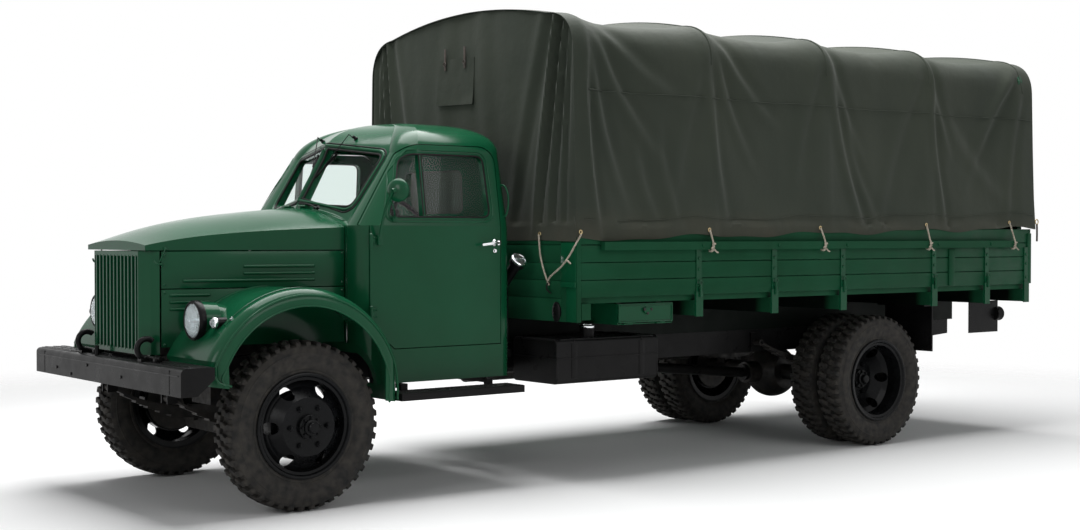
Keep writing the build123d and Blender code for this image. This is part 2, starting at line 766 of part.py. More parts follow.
def headlamp_lens():
    """The clear front of a headlamp, seated in its rim."""
    radius = headlamp_radius - 8 - running_gap
    return rod((headlamp_x + 10, headlamp_y, headlamp_z), (headlamp_x + 30, headlamp_y, headlamp_z), radius)


def side_lamp():
    """A small bullet lamp on the fender, outboard of the headlamp."""
    body = rod((side_lamp_x - 60, side_lamp_y, side_lamp_z), (side_lamp_x, side_lamp_y, side_lamp_z),
               side_lamp_radius)
    stem = rod((side_lamp_x - 30, side_lamp_y, side_lamp_z), (side_lamp_x - 30, side_lamp_y, side_lamp_z - 120), 14)
    lamp = body + stem
    return lamp - arch_solid(-0.2, (side_lamp_y - 100, side_lamp_y + 100))


# Cab

# height, front at the middle, (x, y) of the front corner, x where the side starts, half width, rear
lower_rows = [
    (cab_bottom, cab_front, (cab_front, 590), -486, cab_half, cab_rear),
    (belt, cab_front, (cab_front, 590), -486, cab_half, cab_rear),
]
upper_rows = [
    (belt, -372, (-478, 500), -540, cab_half - 2, cab_rear),
    (header, -620, (-760, 520), -838, 702, cab_rear + 22),
]
roof_rows = [
    (header, -620, (-760, 520), -838, 702, cab_rear + 22),
    (2050, -668, (-812, 470), -872, 660, cab_rear + 34),
    (2115, -770, (-890, 380), -935, 545, cab_rear + 90),
    (2150, -890, (-965, 260), -990, 380, cab_rear + 170),
    (roof_top, -985, (-1020, 120), -1040, 190, cab_rear + 250),
]
rear_corner = 85


def cab_face(row, inset, lift=0):
    """One level section of the cab, with its front, corner, side and rear moved inwards by inset."""
    z, front, corner, side_x, half, rear = row
    z = z + lift
    a = (front - inset, 0, z)
    b = (corner[0] - inset, corner[1] - 0.3 * inset, z)
    c = (side_x - 0.6 * inset, half - inset, z)
    bend = rear_corner - 0.5 * inset
    d = (rear + inset + bend, half - inset, z)
    e = (rear + inset, half - inset - bend, z)
    knee = Vector(b[0], c[1], z)
    bulge = knee + ((Vector(*b) - knee) + (Vector(*c) - knee)) * 0.26
    rear_knee = Vector(e[0], d[1], z)
    rear_bulge = rear_knee + ((Vector(*d) - rear_knee) + (Vector(*e) - rear_knee)) * 0.293
    flip = lambda p: (p[0], -p[1], z)
    edge = [
        Line(a, b),
        ThreePointArc(b, bulge, c),
        Line(c, d),
        ThreePointArc(d, rear_bulge, e),
        Line(e, flip(e)),
        ThreePointArc(flip(e), (rear_bulge.X, -rear_bulge.Y, z), flip(d)),
        Line(flip(d), flip(c)),
        ThreePointArc(flip(c), (bulge.X, -bulge.Y, z), flip(b)),
        Line(flip(b), a),
    ]
    return make_face(edge)


def cab_solid(inset):
    """The filled cab, each face moved inwards by inset, with the cowl that continues the bonnet."""
    low = -2 if inset else 0
    lower = loft([cab_face(lower_rows[0], inset, low), cab_face(lower_rows[1], inset, -inset)], ruled=True)
    upper = loft([cab_face(upper_rows[0], inset, -inset), cab_face(upper_rows[1], inset)], ruled=True)
    ahead = block((cab_front - inset, 0), (-900, 900), (belt - 200, header))
    upper -= ahead
    roof = loft([cab_face(row, inset, -0.8 * inset if row[0] > header else 0) for row in roof_rows])
    crown = bonnet_sections[-1][2]
    cowl_front = bonnet_face(cab_front - inset, side_rear_half, crown, inset, belt - 120)
    cowl = extrude(cowl_front, 260, dir=(-1, 0, 0))
    return lower + upper + roof + cowl


def door_outline(gap):
    """The side view of a door, grown by gap on every side."""
    top = door_top + gap
    front = door_front + gap
    rear = door_rear - gap
    low = door_bottom - gap
    lean = (787 - 481) / (2008 - 1545)
    front_top = front - lean * (top - 1545)
    points = [(door_heel + 0.6 * gap, low), (front, fender_clear - gap), (front, 1545), (front_top, top),
              (rear, top), (rear, low)]
    face = make_face(Polyline(*[(px, 0, pz) for px, pz in points], close=True))
    rear_top = face.vertices().group_by(Axis.Z)[-1].sort_by(Axis.X)[0]
    face = fillet(rear_top, 110)
    front_top = face.vertices().group_by(Axis.Z)[-1].sort_by(Axis.X)[-1]
    return fillet(front_top, 150)


def window_outline(gap):
    """The side view of a door's glass, grown by gap on every side."""
    points = [(-612 + gap, 1592 - gap), (-757 + gap, 1950 + gap), (-1296 - gap, 1950 + gap),
              (-1314 - gap, 1592 - gap)]
    face = make_face(Polyline(*[(px, 0, pz) for px, pz in points], close=True))
    corners = face.vertices().sort_by(Axis.X)
    face = fillet(corners[0:2], 45)
    front_top = face.vertices().sort_by(Axis.X).filter_by(lambda v: v.X > -800).sort_by(Axis.Z)[-1]
    return fillet(front_top, 100)


def through_side(face):
    """A prism through the left side of the cab from a side view."""
    return Pos(0, 560, 0) * extrude(face, 300, dir=(0, 1, 0))


cab_outer = cab_solid(0)
cab_inner = cab_solid(cab_wall)
glass_outer = cab_solid(cab_wall / 2 - glass)
glass_inner = cab_solid(cab_wall / 2)


# y and z of the four corners of the left pane
windscreen_corners = ((30, 1672), (30, 2004), (486, 1952), (462, 1652))
rear_window = (640, 270)
rear_window_z = 1755


def windscreen_cut(gap):
    """A prism along the line of sight that opens both panes of the V windscreen."""
    grow = ((-1, -1), (-1, 1), (1, 1), (1, -1))
    pane = [(y + gap * out, z + gap * up) for (y, z), (out, up) in zip(windscreen_corners, grow)]
    cut = None
    for side in (-1, 1):
        face = make_face(Polyline(*[(0, side * py, pz) for py, pz in pane], close=True))
        face = fillet(face.vertices().sort_by(Axis.Y)[-2:] if side > 0 else face.vertices().sort_by(Axis.Y)[:2], 40)
        prism = Pos(-330, 0, 0) * extrude(face, 520, dir=(-1, 0, 0))
        cut = prism if cut is None else cut + prism
    return cut


def rear_window_cut(gap):
    """A prism through the rear wall of the cab."""
    face = Plane(origin=(cab_rear - 60, 0, rear_window_z), x_dir=(0, 1, 0), z_dir=(1, 0, 0)) * RectangleRounded(
        rear_window[0] + 2 * gap, rear_window[1] + 2 * gap, 50)
    return extrude(face, 180, dir=(1, 0, 0))


def wheel_bay():
    """The room that a front wheel needs in front of the cab on full lock."""
    return rod((0, -cab_half - 100, 560), (0, cab_half + 100, 560), 532)


def cab_shell():
    """Roof, pillars, cowl, sills and rear wall, each as thick as the whole wall."""
    door_hole = through_side(door_outline(seam))
    shell = cab_outer - cab_inner
    shell -= door_hole
    shell -= mirror(door_hole, Plane.XZ)
    shell -= windscreen_cut(0)
    shell -= rear_window_cut(0)
    shell -= block((cab_rear - 10, cab_front + 10), (-640, 640), (cab_bottom - 10, floor_bottom + 1))
    outer_knuckles = (bonnet_knuckles[1] + running_gap, bonnet_knuckles[1] + 28)
    inner_knuckles = (bonnet_knuckles[0] - 28, bonnet_knuckles[0] - running_gap)
    return shell - wheel_bay() + hinge_knuckles(outer_knuckles, -30) + hinge_knuckles(inner_knuckles, -30)


def cab_panes(cut):
    """Glass in the middle of the cab's wall, inside a prism."""
    return (glass_outer - glass_inner) & cut


def door():
    """The left door: a hollow-looking panel with its window cut and a bar before the quarter light."""
    body = (cab_outer - cab_inner) & through_side(door_outline(0))
    return body - through_side(window_outline(0))


def door_glass():
    """The quarter light and the main window of the left door."""
    pane = cab_panes(through_side(window_outline(-running_gap)))
    return pane - block((-866, -844), (600, 800), (1500, 2050))


def window_bar():
    """The upright bar between the quarter light and the main window."""
    bar = (cab_outer - cab_inner) & through_side(window_outline(0))
    return bar & block((-865.7, -844.3), (600, 800), (1500, 2050))


def door_hinges():
    """The two outside hinges of the left door, each a barrel on the hinge line with its leaf."""
    hinges = []
    for z in (1452, 1046):
        barrel = rod((hinge_x, hinge_y, z - 36), (hinge_x, hinge_y, z + 36), 9)
        leaf = block((hinge_x - 48, hinge_x), (cab_half, cab_half + 8), (z - 30, z + 30))
        web = block((hinge_x - 14, hinge_x - 5), (cab_half + 7, hinge_y), (z - 30, z + 30))
        hinges.append(barrel + leaf + web)
    return group(hinges)


def door_mirror():
    """The round mirror on an arm from the left door's upper hinge."""
    foot = block((-540, -526), (cab_half, cab_half + 24), (1440, 1476))
    arm = rod((-533, cab_half + 16, 1458), (-548, mirror_y, mirror_z - 40), 7)
    head = rod((-540, mirror_y, mirror_z), (-564, mirror_y + 4, mirror_z), mirror_radius)
    return foot + arm + head


def door_handle():
    """The outside handle of the left door, a bar on one stud."""
    stud = rod((-1345, cab_half, handle_z), (-1345, cab_half + 42, handle_z), 10)
    return stud + rod((-1357, cab_half + 38, handle_z), (-1225, cab_half + 34, handle_z), 9)


def cab_floor():
    """Floor and toe board on top of the frame."""
    inside = cab_wall + 1
    floor = block((cab_rear + inside, cab_front - inside), (-cab_half + inside, cab_half - inside),
                  (floor_bottom, floor_top))
    return (floor & cab_inner) - wheel_bay()


seat_front = -880
seat_half = 640
seat_z = (1060, 1190)
backrest_depth = 88
backrest_top = 1560


def seat():
    """Bench cushion and backrest on a closed box."""
    back = cab_rear + cab_wall + 20
    base = block((back, seat_front - 30), (-seat_half + 40, seat_half - 40), (floor_top, seat_z[0]))
    cushion = fillet(block((back + backrest_depth + 2, seat_front), (-seat_half, seat_half), seat_z).edges(), 30)
    backrest = block((back, back + backrest_depth), (-seat_half, seat_half), (seat_z[0] + running_gap, backrest_top))
    backrest = fillet(backrest.edges(), 28)
    return base, group([cushion, backrest])


dashboard_rear = -640
dashboard_half = 570
dashboard_z = (1330, 1500)


def dashboard():
    """The instrument panel under the windscreen."""
    return block((dashboard_rear, cab_front - cab_wall - running_gap), (-dashboard_half, dashboard_half), dashboard_z)


column_foot = (-491, 350, 1030)
column_head = (-880, 350, 1600)
steering_radius = 215
rim_radius = 13


def steering_column():
    """The tube that carries the steering wheel."""
    return rod(column_foot, column_head, 24)


def steering_wheel():
    """Rim, three spokes and boss, square to the column."""
    axis = Vector(*column_head) - Vector(*column_foot)
    plane = Plane(origin=Vector(*column_head) + axis.normalized() * 36, x_dir=(0, 1, 0), z_dir=axis)
    wheel_body = Torus(steering_radius, rim_radius) + Pos(0, 0, -12) * Cylinder(38, 46)
    for step in range(3):
        wheel_body += Rot(0, 0, 90 + 120 * step) * Pos(steering_radius / 2, 0, 0) * Box(steering_radius, 20, 8)
    return plane * wheel_body


# Side equipment

step_x = (-1432, -574)
step_y = (cab_half, cab_half + 180)
step_z = (560, 600)
step_brackets = (-700, -1300)


def running_board():
    """The step below the left door on two brackets from the frame."""
    step = block(step_x, step_y, step_z)
    arm_z = (step_z[1] + 12, cab_bottom - 6)
    for x in step_brackets:
        step += block((x - 22, x + 22), (rail_outer, rail_outer + 10), (arm_z[0], rail_bottom + 60))
        step += block((x - 22, x + 22), (rail_outer, cab_half + 10), arm_z)
        step += block((x - 22, x + 22), (cab_half - 20, cab_half + 10), (step_z[1] - 10, arm_z[1]))
    return step


tank_x = (-2474, -1672)
tank_y = (rail_outer + 85, bed_half - 175)
tank_z = (588, 860)
tank_seam_z = 742
tank_cap = (-1993, tank_y[1] - 110)
tank_cap_radius = 45


def fuel_tank():
    """The tank beside the frame, with two straps, a raised seam and its filler."""
    tank = fillet(block(tank_x, tank_y, tank_z).edges().filter_by(Axis.X), 30)
    tank += block((tank_x[0] - 8, tank_x[1] + 8), (tank_y[0] + 30, tank_y[1] + 6), (tank_seam_z - 4, tank_seam_z + 4))
    for x in (tank_x[0] + 130, tank_x[1] - 130):
        tank += block((x - 25, x + 25), (rail_outer, tank_y[0] + 40), (tank_z[0] + 60, tank_z[1] - 30))
    return tank + rod((*tank_cap, tank_z[1] - 20), (*tank_cap, tank_z[1] + 60), tank_cap_radius)


filler_x = cab_rear - 80
filler_y = (rail_outer + 85, rail_outer + 155)
filler_foot_z = (740, 780)
filler_neck = ((filler_x, filler_y[1] - 30, 1180), (filler_x, 700, 1310))
filler_cap = (filler_x, 726, 1334)


def cab_filler():
    """The filler neck of the second tank, behind the cab."""
    neck = rod(*filler_neck, 34) + rod(filler_neck[1], filler_cap, 48)
    post = block((filler_x - 20, filler_x + 20), filler_y, (filler_foot_z[0], filler_neck[0][2] + 20))
    return neck + post + block((filler_x - 40, filler_x + 40), (rail_outer, filler_y[1]), filler_foot_z)


box_x = (-2487, -2038)
box_y = (760, bed_half - 53)
box_z = (940, 1068)
box_hinges = (-2420, -2150)
box_hinge_y = box_y[1] + 8
box_hinge_z = box_z[0] + 4


def tool_box():
    """The steel box under the side of the body, open at its outer side for the lid."""
    shell = block(box_x, box_y, box_z)
    shell -= block((box_x[0] + 6, box_x[1] - 6), (box_y[0] + 6, box_y[1] + 1), (box_z[0] + 6, box_z[1] - 6))
    hanger = block((box_x[0] + 40, box_x[0] + 80), (box_y[0] + 40, box_y[1] - 60), (box_z[1], floor_z - floor_plank))
    hanger += block((box_x[1] - 80, box_x[1] - 40), (box_y[0] + 40, box_y[1] - 60), (box_z[1], floor_z - floor_plank))
    for x in box_hinges:
        shell += rod((x + 40 + running_gap, box_hinge_y, box_hinge_z), (x + 70, box_hinge_y, box_hinge_z), 5)
        shell += block((x + 40 + running_gap, x + 70), (box_y[1] - 6, box_hinge_y), (box_hinge_z - 4, box_hinge_z + 2))
    return shell + hanger


def tool_box_lid():
    """The flap that closes the box, hinged along its lower edge."""
    lid = block((box_x[0] + 2, box_x[1] - 2), (box_y[1] + seam, box_y[1] + seam + 6), (box_z[0] + 11, box_z[1] - 2))
    for x in box_hinges:
        lid += rod((x, box_hinge_y, box_hinge_z), (x + 40, box_hinge_y, box_hinge_z), 5)
        lid += block((x, x + 40), (box_y[1] + seam, box_y[1] + seam + 6), (box_hinge_z, box_z[0] + 12))
    x = (box_x[0] + box_x[1]) / 2
    grip_z = (box_z[1] - 58, box_z[1] - 28)
    return lid + block((x - 24, x + 24), (box_y[1] + seam + 5, box_y[1] + seam + 20), grip_z)


# Cargo body

floor_z = board_bottom
bearer_z = (floor_z - bearer_depth - floor_plank, floor_z - floor_plank)


def bed_floor():
    """Planks laid along the body on the bearers."""
    width = 2 * (bed_half - board_wall - 1) / plank_count
    planks = []
    for number in range(plank_count):
        y = -bed_half + board_wall + 1 + width * number
        planks.append(block((bed_rear + 1, bed_front - board_wall - 1), (y + 1, y + width - 1),
                            (floor_z - floor_plank, floor_z)))
    return group(planks)


def bearers():
    """Cross bearers on two long sills that lie on the frame."""
    frame = None
    for side in (-1, 1):
        y = (side * sill_half - sill_width / 2, side * sill_half + sill_width / 2)
        sill = block((bed_rear, bed_front - board_wall), y, (rail_top, bearer_z[0]))
        frame = sill if frame is None else frame + sill
    for x in bearer_stations:
        frame += block((x - bearer_width / 2, x + bearer_width / 2), (-bed_half, bed_half), bearer_z)
    gap = hinge_strap / 2 + running_gap
    ear_x = (tailgate_hinge_x - hinge_barrel + 1, bed_rear)
    for y in tailgate_hinges:
        for low, high in ((-gap - 8, -gap), (gap, gap + 8)):
            frame += block(ear_x, (y + low, y + high), (bearer_z[0] + 40, tailgate_hinge_z + hinge_barrel))
    return frame


def front_board():
    """The boarded front wall of the body, with its corner posts."""
    wall = block((bed_front - board_wall, bed_front), (-bed_half, bed_half), (front_board_low, board_top))
    for side in (-1, 1):
        y = sorted((side * (bed_half - 60), side * (bed_half + 4)))
        wall += block((bed_front - 4, canopy_front - canopy_wall - 2), y, (front_board_low, canopy_hem - 12))
    return wall


def side_board():
    """The left side of the body: four planks held by upright irons and a long outer rail."""
    length = (bed_rear, bed_front - board_wall - running_gap)
    height = (board_top - board_bottom) / 4
    board = block(length, (bed_half - board_wall, bed_half), (board_bottom, board_top))
    for number in range(1, 4):
        z = board_bottom + number * height
        board -= block((length[0] - 1, length[1] + 1), (bed_half - 3, bed_half + 1), (z - 2, z + 2))
    return board


def side_rail():
    """The long square bar outside the upper plank, on short spacers."""
    y = bed_half + 10
    bar = block((side_rail_rear, side_rail_front), (y, y + 36), (side_rail_z, side_rail_z + rail_bar))
    for x in bearer_stations[1:-1]:
        bar += block((x - 20, x + 20), (bed_half, y + 1), (side_rail_z + 8, side_rail_z + rail_bar - 8))
    return bar


def side_irons():
    """Hinge irons down the outside of the side boards to the ends of the bearers."""
    irons = []
    for x in bearer_stations[1:]:
        iron = block((x - 22, x + 22), (bed_half, bed_half + 8), (bearer_z[0] - 6, side_rail_z - 2))
        iron += block((x - 30, x + 30), (bed_half, bed_half + 14), (bearer_z[0] - 6, board_bottom + 20))
        irons.append(iron)
    return group(irons)


def tailgate():
    """The rear board, with the knuckles of its hinges along the lower edge."""
    board = block((bed_rear - seam - tailgate_wall, bed_rear - seam), (-bed_half + 12, bed_half - 12),
                  (board_bottom + 4, board_top))
    half = hinge_strap / 2
    for y in tailgate_hinges:
        board += block((tailgate_hinge_x, bed_rear - seam - tailgate_wall + 2), (y - half, y + half),
                       (tailgate_hinge_z - 4, board_top - 60))
        board += rod((tailgate_hinge_x, y - half, tailgate_hinge_z),
                     (tailgate_hinge_x, y + half, tailgate_hinge_z), hinge_barrel)
    return board


def canopy_face(x, inset, low):
    """One section of the canopy, from hem to hem over the rounded hoops."""
    half_low = canopy_half_bottom - inset
    side_top = (canopy_half_top - inset, canopy_side_top)
    corner = (canopy_corner[0] - 0.8 * inset, canopy_corner[1] - 0.6 * inset)
    shoulder = (canopy_shoulder[0] - 0.3 * inset, canopy_shoulder[1] - inset)
    edge = [
        Line((x, -half_low, low), (x, -side_top[0], side_top[1])),
        ThreePointArc((x, -side_top[0], side_top[1]), (x, -corner[0], corner[1]), (x, -shoulder[0], shoulder[1])),
        ThreePointArc((x, -shoulder[0], shoulder[1]), (x, 0, canopy_top - inset), (x, *shoulder)),
        ThreePointArc((x, *shoulder), (x, *corner), (x, *side_top)),
        Line((x, *side_top), (x, half_low, low)),
        Line((x, half_low, low), (x, -half_low, low)),
    ]
    return make_face(edge)


def hoop(x):
    """A bent bow from one side of the body to the other, over the load."""
    front = x + hoop_width / 2
    outer = canopy_face(front, canopy_wall + 1, floor_z)
    inner = canopy_face(front, canopy_wall + 1 + hoop_strip, floor_z - 1)
    outer = extrude(outer, -hoop_width, dir=(1, 0, 0)) & block((x - 100, x + 100), (-hoop_half, hoop_half), (0, 4000))
    limit = hoop_half - hoop_strip
    inner = extrude(inner, -hoop_width, dir=(1, 0, 0)) & block((x - 100, x + 100), (-limit, limit), (0, 4000))
    return outer - inner


def canopy():
    """The canvas: sides and front hang outside the boards, the rear curtain inside the tailgate."""
    length = rear_end - canopy_front
    outer = extrude(canopy_face(canopy_front, 0, canopy_hem), length, dir=(1, 0, 0))
    inner = extrude(canopy_face(canopy_front - canopy_wall, canopy_wall, canopy_hem - 1), length, dir=(1, 0, 0))
    shell = outer - inner
    curtain = extrude(canopy_face(curtain_x + canopy_wall, canopy_wall, board_top + 4), -canopy_wall, dir=(1, 0, 0))
    curtain += block((curtain_x, curtain_x + canopy_wall), (-hoop_half + 20, hoop_half - 20),
                     (curtain_bottom, board_top + 10))
    return shell + curtain


flap_behind_axle = 560
flap_y = (640, 1070)
flap_bottom = 640
flap_hanger = 100
flap_wall = 12


def mud_flap():
    """The flap behind the left rear wheels, hung from a plate under the floor."""
    x = -wheelbase - flap_behind_axle
    flap = block((x, x + flap_wall), flap_y, (flap_bottom, bearer_z[0] - flap_wall))
    return flap + block((x, x + flap_hanger), flap_y, (bearer_z[0] - flap_wall, bearer_z[0]))


lamp_plate_x = (-6088, -5730)
lamp_plate_y = (896, 904)
lamp_plate_bottom = 740


def rear_bracket():
    """The bracket that carries the tail lamp and a blank plate under the left rear corner."""
    return block(lamp_plate_x, lamp_plate_y, (lamp_plate_bottom, bearer_z[0]))


os.makedirs("parts", exist_ok=True)

front_tyre_left = Pos(0, front_track_half, axle_z) * tyre()
front_wheel_left = Pos(0, front_track_half, axle_z) * front_wheel()
rear_tyres_left = group([Pos(-wheelbase, rear_track_half + side * disc_dish, axle_z) * tyre() for side in (-1, 1)])
rear_wheels_left = Pos(-wheelbase, rear_track_half, axle_z) * rear_wheels()
knuckle_left = knuckle()
fender_left = fender()
door_left = door() + window_bar() + door_hinges()
door_glass_left = door_glass()
handle_left = door_handle()
seat_base, seat_pads = seat()

left_and_right = {
    "front_tyre": front_tyre_left,
    "front_wheel": front_wheel_left,
    "rear_tyres": rear_tyres_left,
    "rear_wheels": rear_wheels_left,
    "knuckle": knuckle_left,
    "front_fender": fender_left,
    "door": door_left,
    "door_glass": door_glass_left,
}
for name, shape in left_and_right.items():
    export_node(f"{name}_left", shape)
    export_node(f"{name}_right", mirror(shape, Plane.XZ))

export_node("door_fittings_left", group([door_mirror(), handle_left]))
export_node("door_fittings_right", mirror(handle_left, Plane.XZ))

export_node("front_axle", front_axle())
export_node("track_rod", track_rod())
export_node("leaf_springs", both_sides(group([front_spring, rear_spring])))
hangers = [front_hanger(x) for x in (-front_spring_half, front_spring_half)]
hangers += [rear_hanger(-wheelbase + x) for x in (-rear_spring_half, rear_spring_half)]
export_node("spring_hangers", both_sides(group(hangers)))
export_node("rear_axle", rear_axle())
export_node("frame_rails", both_sides(frame_rail()))
export_node("cross_members", group([cross_member(x) for x in cross_member_stations]))
export_node("front_bumper", bumper())
export_node("tow_hooks", both_sides(tow_hook()))
export_node("engine_and_gearbox", engine())
export_node("propeller_shaft", propeller_shaft())
export_node("exhaust", exhaust())
export_node("bonnet", bonnet())
export_node("bonnet_sides", both_sides(bonnet_side()))
export_node("grille_shell", grille_shell())
export_node("radiator", radiator())
export_node("lamp_bodies", both_sides(group([headlamp(), side_lamp()])))
export_node("headlamp_lenses", both_sides(headlamp_lens()))
export_node("cab_shell", cab_shell())
fixed_panes = [cab_panes(windscreen_cut(-running_gap)), cab_panes(rear_window_cut(-running_gap))]
export_node("cab_glass", group(fixed_panes))
export_node("cab_floor", cab_floor() + seat_base)
export_node("seat_pads", seat_pads)
export_node("dashboard", group([dashboard(), steering_column()]))
export_node("steering_wheel", steering_wheel())
export_node("running_boards", both_sides(running_board()))
export_node("fuel_tanks", group([fuel_tank(), cab_filler()]))
export_node("tool_box", tool_box())
export_node("tool_box_lid", tool_box_lid())
export_node("bed_floor", bed_floor())
export_node("bed_bearers", bearers())
export_node("front_board", front_board())
export_node("side_boards", both_sides(side_board()))
export_node("side_rails", both_sides(side_rail()))
export_node("side_irons", both_sides(side_irons()))
export_node("tailgate", tailgate())
export_node("hoops", group([hoop(x) for x in hoop_stations]))
export_node("canopy", canopy())
export_node("rear_hangings", both_sides(group([mud_flap(), rear_bracket()])))
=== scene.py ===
import bpy
import bmesh
from math import atan2, cos, hypot, pi, radians, sin
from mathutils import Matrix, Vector, noise


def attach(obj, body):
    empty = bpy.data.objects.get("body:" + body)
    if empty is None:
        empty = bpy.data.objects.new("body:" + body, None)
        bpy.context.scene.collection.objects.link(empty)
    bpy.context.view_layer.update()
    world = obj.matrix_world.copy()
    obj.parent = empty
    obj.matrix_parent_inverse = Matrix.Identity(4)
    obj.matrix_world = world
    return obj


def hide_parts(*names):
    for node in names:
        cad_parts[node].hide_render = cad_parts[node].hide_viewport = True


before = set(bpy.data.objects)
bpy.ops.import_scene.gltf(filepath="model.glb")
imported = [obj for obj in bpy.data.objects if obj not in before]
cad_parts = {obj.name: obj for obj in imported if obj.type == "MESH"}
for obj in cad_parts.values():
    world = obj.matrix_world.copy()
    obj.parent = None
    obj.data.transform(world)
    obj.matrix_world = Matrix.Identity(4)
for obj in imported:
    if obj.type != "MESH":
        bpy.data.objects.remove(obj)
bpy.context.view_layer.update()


# The photographer's room
# A pale floor that fades out into a white surround, one broad soft box overhead and a weaker one at the
# camera's left. The lens and the tripod's place were worked out from the truck's wheels and long edges.

bpy.ops.object.select_all(action="DESELECT")
bpy.ops.object.camera_add(location=(6.8594, 8.2245, 1.4821), rotation=(radians(88.92), 0, radians(142)))
camera = bpy.context.object
camera.data.lens = 51.87
camera.data.sensor_width = 36
bpy.context.scene.camera = camera
bpy.context.scene.view_settings.view_transform = "Standard"


def fill(tree, node, inputs):
    """Give each named input of a node its value, or link another node's output to it."""
    for label, value in inputs.items():
        if isinstance(value, bpy.types.NodeSocket):
            tree.links.new(value, node.inputs[label])
        else:
            node.inputs[label].default_value = value


def add_node(tree, kind, inputs=None, **settings):
    """A new shader node with its settings and inputs."""
    node = tree.nodes.new(f"ShaderNode{kind}")
    for label, value in settings.items():
        setattr(node, label, value)
    fill(tree, node, inputs or {})
    return node


def node_material(name, shader):
    """A material, its nodes and the shader with some values set."""
    material = bpy.data.materials.new(name)
    material.use_nodes = True
    tree = material.node_tree
    fill(tree, tree.nodes["Principled BSDF"], shader)
    return material, tree


def truck_place(tree):
    """The place of a point on the truck, which every pattern follows."""
    return add_node(tree, "TexCoord").outputs["Object"]


world = bpy.data.worlds.new("surround")
bpy.context.scene.world = world
world.use_nodes = True
tree = world.node_tree
room_light = tree.nodes["Background"]
fill(tree, room_light, {"Color": (0.95, 0.98, 1.0, 1), "Strength": 0.14})
white_paper = add_node(tree, "Background", {"Color": (1, 1, 1, 1)})
rays = add_node(tree, "LightPath").outputs
seen = add_node(tree, "Math", {0: rays["Is Camera Ray"], 1: rays["Is Transmission Ray"]}, operation="MAXIMUM")
seen = add_node(tree, "Math", {0: seen.outputs[0], 1: rays["Is Glossy Ray"]}, operation="MAXIMUM")
surround = add_node(tree, "MixShader", {0: seen.outputs[0], 1: room_light.outputs[0],
                                        2: white_paper.outputs[0]})
fill(tree, tree.nodes["World Output"], {"Surface": surround.outputs[0]})

bpy.ops.mesh.primitive_circle_add(vertices=96, radius=16, fill_type="TRIFAN", location=(0, 0, -0.002))
floor = bpy.context.object
floor.name = "floor"
floor_paper, tree = node_material("floor_paper", {"Base Color": (0.93, 0.93, 0.93, 1), "Roughness": 0.9})
reach = add_node(tree, "VectorMath", {0: truck_place(tree)}, operation="LENGTH").outputs["Value"]
fade = add_node(tree, "MapRange", {"Value": reach, "From Min": 4.5, "From Max": 9.0},
                interpolation_type="SMOOTHSTEP")
clear_floor = add_node(tree, "BsdfTransparent")
floor_mix = add_node(
    tree, "MixShader", {0: fade.outputs["Result"], 1: tree.nodes["Principled BSDF"].outputs[0],
    2: clear_floor.outputs[0]})
fill(tree, tree.nodes["Material Output"], {"Surface": floor_mix.outputs[0]})
floor.data.materials.append(floor_paper)


def soft_box(name, place, target, size, watts):
    """A rectangular studio lamp that faces a point."""
    bpy.ops.object.light_add(type="AREA", location=place)
    lamp = bpy.context.object
    lamp.name = name
    lamp.data.shape = "RECTANGLE"
    lamp.data.size, lamp.data.size_y = size
    lamp.data.energy = watts
    lamp.rotation_euler = (Vector(target) - Vector(place)).to_track_quat("-Z", "Y").to_euler()


soft_box("ceiling_box", (-0.5, -0.9, 7.5), (-0.5, 0, 0), (9, 6.5), 1150)
soft_box("left_box", (9.5, 2.5, 4.0), (0.5, 0, 1.2), (3, 3), 110)
soft_box("side_box", (-1.0, 10.0, 6.0), (0, 0, 1.2), (8, 3), 170)


# Green enamel of the cab and sheet metal
# Deep gloss green, sprayed over pressed steel. The coat is thick and slightly uneven, with a faint
# orange peel, and a little road dust lies on it low down.

sides = (("left", 1), ("right", -1))


def tint(tree, place, scale, dark, light, detail=4):
    """A colour that drifts between two tones with a noise of the given scale."""
    cloud = add_node(tree, "TexNoise", {"Scale": scale, "Detail": detail, "Vector": place})
    ramp = add_node(tree, "ValToRGB", {"Fac": cloud.outputs["Fac"]})
    for element, position, tone in zip(ramp.color_ramp.elements, (0.32, 0.68), (dark, light)):
        element.position = position
        element.color = (*tone, 1)
    return ramp.outputs["Color"]


def relief(tree, height, strength, distance):
    """A bump that feeds the shader's normal."""
    bump = add_node(tree, "Bump", {"Strength": strength, "Distance": distance, "Height": height})
    fill(tree, tree.nodes["Principled BSDF"], {"Normal": bump.outputs["Normal"]})


def uneven_gloss(tree, place, scale, low, high):
    """A roughness that varies between two values."""
    cloud = add_node(tree, "TexNoise", {"Scale": scale, "Detail": 5, "Vector": place})
    spread = add_node(tree, "MapRange", {"From Min": 0.3, "From Max": 0.7, "To Min": low, "To Max": high,
                                         "Value": cloud.outputs["Fac"]})
    fill(tree, tree.nodes["Principled BSDF"], {"Roughness": spread.outputs["Result"]})


def low_share(tree, place, low, high, amount, grit):
    """A patchy share that falls from an amount at one height to nothing at another, in metres."""
    height = add_node(tree, "SeparateXYZ", {0: place}).outputs["Z"]
    fade = add_node(tree, "MapRange", {"From Min": low, "From Max": high, "To Min": amount, "To Max": 0.0,
                                       "Value": height})
    patches = add_node(tree, "TexNoise", {"Scale": grit[0], "Detail": grit[1], "Vector": place})
    share = add_node(tree, "Math", {0: fade.outputs["Result"], 1: patches.outputs["Fac"]},
                     operation="MULTIPLY")
    return share.outputs[0]


def mixed(tree, share, colour, other):
    """A colour with a share of another one."""
    mix = add_node(tree, "Mix", {"Factor": share, "A": colour, "B": other}, data_type="RGBA")
    return mix.outputs["Result"]


